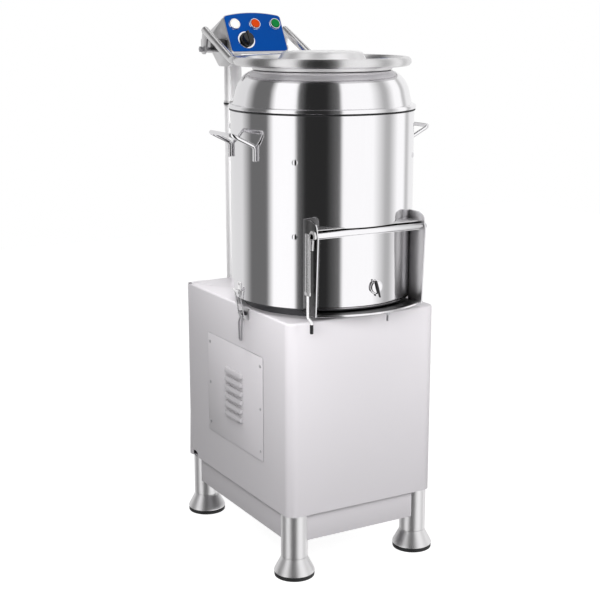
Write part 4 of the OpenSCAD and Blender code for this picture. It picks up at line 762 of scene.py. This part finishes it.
# Toggle latches: a satin plate with two black ears on the cabinet, a bent wire lever between polished lugs, a
# wire bail that it pulls down, and a riveted steel hook on the drum that the bail holds.
LATCH_Y, LATCH_OUT, LATCH_Z, CATCH_Z, BAIL_OUT, THROW = 12.0, 201.0, 572.0, 628.0, 211.0, 6.0
WIRE_R = 1.5
for side, label in ((-1, "left"), (1, "right")):
    sx = np.array([side, 1, 1])
    x0, x1 = sorted((side * CAB_X, side * (CAB_X + 2)))
    plate = round_corners(rectangle(LATCH_Y - 18, LATCH_Z - 15, LATCH_Y + 18, LATCH_Z + 11), 4, 6)
    base = [prism("latch_plate_" + label, plate, x0, x1, satin, 0.5, YZ)]
    for i, y in enumerate((LATCH_Y - 9.2, LATCH_Y + 7.0)):
        ear = [(side * CAB_X, LATCH_Z + 4), (side * CAB_X, LATCH_Z - 4)]
        ear += [(side * x, z) for x, z in arc_points((LATCH_OUT, LATCH_Z), 4, -90, 90, 12)]
        base.append(prism("latch_ear_%s_%d" % (label, i + 1), ear, y, y + 2.2, black_paint, 0.4, XZ))
    pin = np.array([(LATCH_OUT, LATCH_Y - 9.0, LATCH_Z), (LATCH_OUT, LATCH_Y + 9.0, LATCH_Z)]) * sx
    base.append(sweep("latch_pin_" + label, pin, 1.55, zinc, 16))
    fit(base, "machine", "latch_bases")
    lever_x, knee, grip_z = LATCH_OUT + 3, LATCH_Z - 20, LATCH_Z - 62
    arm = [(LATCH_OUT, -5, LATCH_Z - 1), (LATCH_OUT, -5, LATCH_Z - 10), (lever_x, -7.5, knee),
           (lever_x, -4.5, grip_z), (lever_x, 4.5, grip_z), (lever_x, 7.5, knee),
           (LATCH_OUT, 5, LATCH_Z - 10), (LATCH_OUT, 5, LATCH_Z - 1)]
    path = (round_corners(arm, [0, 3, 5, 3.5, 3.5, 5, 3, 0], 5, False) + (0, LATCH_Y, 0)) * sx
    lever = [sweep("latch_lever_wire_" + label, path, 2.2, zinc, 16)]
    for i, y in enumerate((LATCH_Y - 6.5, LATCH_Y + 3.0)):
        lug = arc_points((LATCH_OUT, LATCH_Z), 4, 0, 180, 13)
        lug += arc_points((LATCH_OUT, LATCH_Z - THROW), 3.5, 180, 360, 13)
        lug = [(side * x, z) for x, z in lug]
        lever.append(prism("latch_lug_%s_%d" % (label, i + 1), lug, y, y + 3.5, polished, 0.5, XZ))
    fit(lever, "lever_" + label, "latch_lever_" + label)
    pivot = LATCH_Z - THROW
    loop = [(LATCH_OUT, -3.5, pivot), (LATCH_OUT, -12, pivot), (BAIL_OUT, -12, CATCH_Z),
            (BAIL_OUT, 12, CATCH_Z), (LATCH_OUT, 12, pivot), (LATCH_OUT, 3.5, pivot)]
    path = (round_corners(loop, [0, 3, 3, 3, 3, 0], 5, False) + (0, LATCH_Y, 0)) * sx
    bail = sweep("latch_bail_wire_" + label, path, WIRE_R, polished, 14)
    fit([bail], "bail_" + label, "latch_bail_" + label)
    lean_y = np.arcsin(LATCH_Y / DRUM_R)
    out = np.array([cos(lean_y), sin(lean_y), 0])
    across = np.array([-sin(lean_y), cos(lean_y), 0])
    corners = [(0.1, 16), (0.1, -14), (1.5, -14), (1.5, -3.5), (16, -3.5), (16, 2.5), (14.2, 2.5),
               (14.2, -1.6), (1.5, -1.6), (1.5, 16)]
    corners = round_corners(corners, [0.3, 0.3, 0.5, 1.5, 1.8, 0.6, 0.6, 1.0, 0.5, 0.5], 4)
    widths = np.array([-8.0, -7.6, 7.6, 8.0])
    inset = np.array([0.985, 1, 1, 0.985])
    points = (out * (DRUM_R + corners[None, :, :1] * inset[:, None, None]) + across * widths[:, None, None]
              + np.array([0, 0, 1]) * (CATCH_Z + corners[None, :, 1:]))
    faces = capped_faces(4, len(corners))
    catch = make_mesh("latch_hook_" + label, points.reshape(-1, 3) * sx, faces, lid_steel)
    if side > 0:
        catch.data.flip_normals()
    rivet = [(0.05, 0), (2.5, 0), (2.3, 0.8), (1.4, 1.2), (0.05, 1.2)]
    pieces = [catch]
    for i, z in enumerate((-9, 11)):
        place = (out * (DRUM_R + 1.5) + (0, 0, CATCH_Z + z)) * sx
        pieces.append(turned("latch_rivet_%s_%d" % (label, i + 1), rivet, zinc, place, out * sx, 20))
    fit(pieces, "machine", "latch_catches")


# Column: drawn steel tube held to the cabinet's rear wall by two saddle clamps with hexagon bolts. A steel
# band with a black clip round it sits at the height of the drum's rim.
HEAD_X, COLUMN_Y, COLUMN_R = -44.0, 350.0, 21.0
RING_R, RING_TUBE, RING_Z = 187.0, 10.0, 1124.0
HINGE_Y, HINGE_Z, BASE_Z = 289.0, 1144.0, 1138.0
tube_profile = [(COLUMN_R - 2, 250.1), (COLUMN_R - 2, BASE_Z - 4.1), (COLUMN_R, BASE_Z - 4.1),
                (COLUMN_R, 251), (COLUMN_R - 0.4, 250.1)]
fit([lathe("column_tube", tube_profile, lid_steel, (HEAD_X, COLUMN_Y), 72)], "machine", "column")
clamps = []
for i, z in enumerate((300, 540)):
    band = [(21.02, -14), (21.02, 14), (23.2, 14), (23.5, 13.7), (23.5, -13.7), (23.2, -14)]
    band = [(r, z + dz) for r, dz in band]
    clamps.append(lathe("clamp_band_%d" % (i + 1), band, satin, (HEAD_X, COLUMN_Y), 64))
    for side in (-1, 1):
        x0, x1 = sorted((HEAD_X + side * 14, HEAD_X + side * 42))
        ear = round_corners(rectangle(x0, z - 14, x1, z + 14), [0, 5, 5, 0] if side > 0 else [5, 0, 0, 5], 5)
        end = "%d%s" % (i + 1, "lr"[side > 0])
        clamps.append(prism("clamp_ear_" + end, ear, CAB_BACK + 0.05, CAB_BACK + 3, satin, 0.4, XZ))
        bolt_at = (HEAD_X + side * 33, z)
        clamps.append(hexagon("clamp_bolt_" + end, bolt_at, 6, CAB_BACK + 3, CAB_BACK + 8, zinc, XZ))
collar = [(21.02, 1004), (21.02, 1018), (22.2, 1018), (22.6, 1017.6), (22.6, 1004.4), (22.2, 1004)]
clamps.append(lathe("collar_band", collar, satin, (HEAD_X, COLUMN_Y), 64))
clip = [(22.5, 1008.6), (22.5, 1013.4), (23.2, 1013.4), (23.5, 1013), (23.5, 1009), (23.2, 1008.6)]
clamps.append(lathe("collar_clip", clip, black_plastic, (HEAD_X, COLUMN_Y), 64))
fit(clamps, "machine", "column_clamps")


# Head bracket: satin steel plate on top of the column with two sides bent down.
# The control box stands on it.
BOX_HALF, FASCIA_Y, BOX_D, BOX_H, BOX_LEAN = 75.0, 207.0, 165.0, 88.0, 47.0
LEFT_SIDE, RIGHT_SIDE = HEAD_X - BOX_HALF, HEAD_X + BOX_HALF
head_outline = rectangle(LEFT_SIDE, FASCIA_Y, RIGHT_SIDE, FASCIA_Y + BOX_D)
side_shape = round_corners([(0, -0.1), (0, -26), (16, -33), (63, -33), (100, -1), (100, -0.1)],
                           [0, 3, 9, 14, 0, 0], 6) + (FASCIA_Y, BASE_Z)
bracket = [prism("head_plate", head_outline, BASE_Z - 4, BASE_Z - 0.1, satin, 0.5)]
for x, label in ((LEFT_SIDE - 2.5, "left"), (RIGHT_SIDE, "right")):
    bracket.append(prism("head_side_" + label, side_shape, x, x + 2.5, satin, 0.4, YZ))
fit(bracket, "machine", "head_bracket")


# Control box: folded satin steel box with a long sloping back. Its front carries the arched fascia plate, on
# which a plain blue film is stuck.
LEAN = atan2(BOX_LEAN, BOX_H)
box_corners = [(0.2, 0.1), (BOX_D - 0.2, 0.1), (BOX_D - 0.2, 27), (100, BOX_H - 34),
               (BOX_LEAN + 2, BOX_H - 11), (0.89 * BOX_LEAN + 0.2, 0.89 * BOX_H)]
box_shape = round_corners(box_corners, [0, 1, 6, 14, 8, 1], 7) + (FASCIA_Y, BASE_Z)
box = prism("control_housing", box_shape, LEFT_SIDE + 0.1, RIGHT_SIDE - 0.1, satin, 1.6, YZ)
fascia_frame = Matrix(((1, 0, 0, HEAD_X / 1000), (0, sin(LEAN), -cos(LEAN), FASCIA_Y / 1000 + AXIS_Y),
                       (0, cos(LEAN), sin(LEAN), BASE_Z / 1000), (0, 0, 0, 1)))
fascia_frame = fascia_frame @ Matrix.Translation((0, -AXIS_Y, 0))


def on_fascia(piece):
    """Moves a piece drawn with X across, Y up the slope and Z outwards onto the sloping front."""
    piece.data.transform(fascia_frame)
    return piece


def fascia_shape(inset):
    """Arched outline: straight foot and sides, rounded corners, and a top arc that rises 9 mm."""
    half, rise, slope_l = BOX_HALF, 9.0, hypot(BOX_LEAN, BOX_H)
    full = (half * half + rise * rise) / (2 * rise)
    top = slope_l + 2 - full
    corner, arc = 9 - inset, full - inset
    cx = half - inset - corner
    cy = top + sqrt((arc - corner) ** 2 - cx ** 2)
    lean = degrees(atan2(cy - top, cx))
    shape = arc_points((cx, inset + corner), corner, -90, 0, 8) + arc_points((cx, cy), corner, 0, lean, 8)
    shape += arc_points((0, top), arc, lean, 180 - lean, 31)[1:-1]
    shape += arc_points((-cx, cy), corner, 180 - lean, 180, 8)
    return shape + arc_points((-cx, inset + corner), corner, 180, 270, 8)


front_plate = on_fascia(prism("fascia_plate", fascia_shape(0), -1.9, 0, zinc, 0.5))
fit([box, front_plate], "machine", "control_box")
film = on_fascia(prism("fascia_film", fascia_shape(2.0), 0.02, 1.5, blue_film, 0.35))
fit([film], "machine", "fascia")


# Lamp and push buttons of the 22 mm size: turned bezels, domed lens and caps. The timer has a steel ring and
# a black moulded knob with a raised grip.
LAMP, STOP, START, TIMER = (-52.0, 69.5), (1.0, 69.5), (54.0, 69.5), (-29.7, 30.3)
bezel_profile = [(11.05, 1.5), (14, 1.5), (14, 3.4), (13.4, 4.2), (13.4, 6.6), (12.6, 7.9), (11.6, 7.9),
                 (11.05, 7.2)]
rims = [on_fascia(lathe("bezel_" + label, bezel_profile, polished, at, 64))
        for label, at in (("lamp", LAMP), ("stop", STOP), ("start", START))]
ring_profile = [(6.0, 1.55), (21.5, 1.55), (21.5, 2.3), (20.9, 3.0), (18.2, 3.0), (17.8, 2.6), (6.0, 2.6)]
rims.append(on_fascia(lathe("timer_ring", ring_profile, polished, TIMER, 72)))
fit(rims, "machine", "bezels")
lens_profile = [(0.05, 2), (10.9, 2), (10.9, 8.2)]
lens_profile += [(10.9 * sin(t), 8.2 + 2.4 * cos(t)) for t in np.linspace(1.35, 0.15, 8)] + [(0.05, 10.6)]
fit([on_fascia(lathe("lamp_dome", lens_profile, white_cap, LAMP, 56))], "machine", "lamp_lens")
cap_profile = [(0.05, 5.9), (10.3, 5.9), (10.5, 6.2), (10.5, 9.0), (9.9, 9.7), (8.6, 9.6), (5, 9.2),
               (0.05, 9.1)]
stem_profile = rectangle(0.05, -11.9, 5, 6.0)
for label, at, material in (("stop", STOP, red_cap), ("start", START, green_cap)):
    cap = on_fascia(lathe("button_cap_" + label, cap_profile, material, at, 56))
    stem = on_fascia(lathe("button_stem_" + label, stem_profile, black_plastic, at, 24))
    fit([cap, stem], label, label + "_button")
knob = [(0.05, 3.4), (16.6, 3.4), (17, 3.8), (17, 7.2), (16.2, 8.2), (13.2, 8.4), (12.4, 16.4), (11.6, 17.2),
        (0.05, 17.2)]
knob = on_fascia(lathe("knob_body", knob, black_plastic, TIMER, 64))
grip = round_corners(rectangle(TIMER[0] - 3, TIMER[1] - 16.8, TIMER[0] + 3, TIMER[1] + 16.8), 2.4, 6)
grip = on_fascia(prism("knob_grip", grip, 4, 19, black_plastic, 1.2))
shank = on_fascia(lathe("knob_shank", rectangle(0.05, -9.9, 5, 3.6), zinc, TIMER, 24))
fit([knob, grip, shank], "timer", "timer_knob")


# Hinge shaft: zinc plated rod right through the box with a nut at each end; the lid's straps turn on it. The
# lid switch is a black moulded case on the box's left side.
shaft = [(HEAD_X - 118, HINGE_Y, HINGE_Z), (HEAD_X + 118, HINGE_Y, HINGE_Z)]
shaft = [sweep("hinge_rod", shaft, 5, zinc, 32)]
for i, x in enumerate((HEAD_X - 117, HEAD_X + 111)):
    shaft.append(hexagon("hinge_nut_%d" % (i + 1), (HINGE_Y, HINGE_Z), 7.2, x, x + 6, zinc, YZ))
fit(shaft, "machine", "hinge_shaft")
switch_y, switch_z = FASCIA_Y + 23, BASE_Z + 3
case = round_corners(rectangle(switch_y, switch_z, switch_y + 50, switch_z + 26), 4, 6)
switch = prism("switch_case", case, LEFT_SIDE - 19, LEFT_SIDE - 0.1, black_plastic, 1.2, YZ)
cover = round_corners(rectangle(switch_y + 4, switch_z + 4, switch_y + 46, switch_z + 22), 2.5, 5)
cover = prism("switch_cover", cover, LEFT_SIDE - 18.9, LEFT_SIDE - 17.5, black_paint, 0.3, YZ)
fit([switch, cover], "machine", "lid_switch")


# Lid: ring of round tube that serves as the handle, two tube arms on hinge straps, a plate with a skirt that
# drops over the hood's mouth, and a pressed crown.
t = np.linspace(0, 2 * pi, 33)[:-1]
ring_profile = np.column_stack([RING_R + RING_TUBE * np.cos(t), RING_Z + RING_TUBE * np.sin(t)])
fit([lathe("lid_tube_ring", ring_profile, tube_steel, segments=200)], "lid", "lid_ring")
ARM_R, BEND_Y, TIP_Y, TIP_Z = 9.5, 143.0, 287.0, 1190.0
left_x, right_x = HEAD_X - 106, HEAD_X + 106
left_arm = [(left_x, sqrt(RING_R ** 2 - left_x ** 2), RING_Z), (left_x, BEND_Y, RING_Z),
            (left_x, TIP_Y, TIP_Z)]
left_arm = round_corners(left_arm, [0, 26, 0], 10, False)
right_arm = [(right_x, BEND_Y, RING_Z), (right_x, TIP_Y, TIP_Z)]
arms = [sweep("lid_arm_" + label, path, ARM_R, tube_steel, 36, 0.8)
        for label, path in (("left", left_arm), ("right", right_arm))]
strap = arc_points((HINGE_Y, HINGE_Z), 12, 180, 360, 17) + [(TIP_Y + 4, TIP_Z), (TIP_Y - 22, TIP_Z - 10)]
for x, label in ((left_x, "left"), (right_x, "right")):
    arms.append(prism("hinge_strap_" + label, strap, x - 2.5, x + 2.5, satin, 0.5, YZ))
fit(arms, "lid", "lid_arms")
LID_LOW, LID_TOP = RING_Z - RING_TUBE, RING_Z - RING_TUBE + 3
disc_profile = [(90, LID_LOW + 0.05), (151.5, LID_LOW + 0.05), (152, LID_LOW - 0.5), (152, 1106.6),
                (152.8, 1106), (154.2, 1106), (155, 1106.8), (155, LID_LOW - 1), (156, LID_LOW),
                (178.5, LID_LOW), (178.5, LID_TOP), (90, LID_TOP)]
fit([lathe("lid_plate", disc_profile, lid_steel, segments=200)], "lid", "lid_disc")
crown = [(0.1, 25.5), (82, 25.5), (100, 0), (104, 0), (89, 25), (82, 28), (0.1, 28)]
crown_profile = round_corners([(r, LID_TOP + z) for r, z in crown], [0, 4, 0, 0, 5, 5, 0], 6)
fit([lathe("lid_dome", crown_profile, lid_steel, segments=200)], "lid", "lid_crown")


# Base pan: black enamelled steel pan that stands on the cabinet's top. It has a floor, a wall and the flange
# that carries the drum.
pan_profile = [(42.1, 585.1), (177.6, 585.1), (178, 585.5), (178, 603.4), (178.6, 604), (202.4, 604),
               (203, 604.6), (203, 606.9), (175, 606.9), (175, 588), (42.1, 588)]
fit([lathe("pan_body", pan_profile, black_paint)], "machine", "base_pan")


# Panel screws: six small zinc plated screws with raised heads hold the access panel, three along each upright
# edge.
screw = [(0.05, -1.4), (2, -1.4), (2, 0.05), (3.6, 0.05), (3.5, 0.7), (2.6, 1.15), (0.05, 1.2)]
places = [(mid_y + a * (277 / 2 - 12), mid_z + b * (243 / 2 - 22)) for a in (-1, 1) for b in (-1, 0, 1)]
for i, (y, z) in enumerate(places):
    head = turned("panel_screw_%d" % (i + 1), screw, zinc, (panel_x, y, z), (-1, 0, 0), 24)
    fit([head], "machine", "panel_screws")


# Rear fittings: zinc plated water inlet with a hexagon and hose barbs on the drum's wall, and the grey
# plastic drain, an elbow under the pan that ends in a lock nut and spigot at the cabinet's rear wall.
out = np.array([cos(radians(50)), sin(radians(50)), 0])
barbs = [(7.5, -6.9), (10, -6.9), (10, 8)]
for start in (9, 16, 23):
    barbs += [(9.4, start), (10, start + 4.5), (9.5, start + 5.5)]
barbs += [(9.6, 33.9), (7.5, 33.9)]
inlet = turned("inlet_tail", barbs, zinc, out * DRUM_R + (0, 0, 950), out, 40)
flats = np.radians(np.arange(6) * 60)
side = np.cross(out, (0, 0, 1))
points = [out * (DRUM_R + d) + (side * cos(a) + np.array([0, 0, 1]) * sin(a)) * r + (0, 0, 950)
          for d, r in ((0, 15.5), (0.5, 16), (4.5, 16), (5, 15.4)) for a in flats]
inlet_nut = make_mesh("inlet_nut", points, capped_faces(4, 6), zinc)
fit([inlet, inlet_nut], "machine", "water_inlet")
DRAIN_X, DRAIN_Y, DRAIN_Z = 62.0, 130.0, 540.0
elbow = [(DRAIN_X, DRAIN_Y, 588), (DRAIN_X, DRAIN_Y, DRAIN_Z), (DRAIN_X, CAB_BACK - 0.5, DRAIN_Z)]
pipe = sweep("drain_elbow", round_corners(elbow, [0, 22, 0], 12, False), 20, grey_plastic, 40, 0.05)
spout_profile = [(16, 0.05), (26, 0.05), (26, 3.4), (25.2, 4.95), (18, 4.95), (18, 30.2), (17.4, 30.9),
                 (16.4, 30.9), (16, 30.3)]
spout = turned("drain_spout", spout_profile, grey_plastic, (DRAIN_X, CAB_BACK, DRAIN_Z), (0, 1, 0), 56)
fit([pipe, spout], "machine", "drain_pipe")
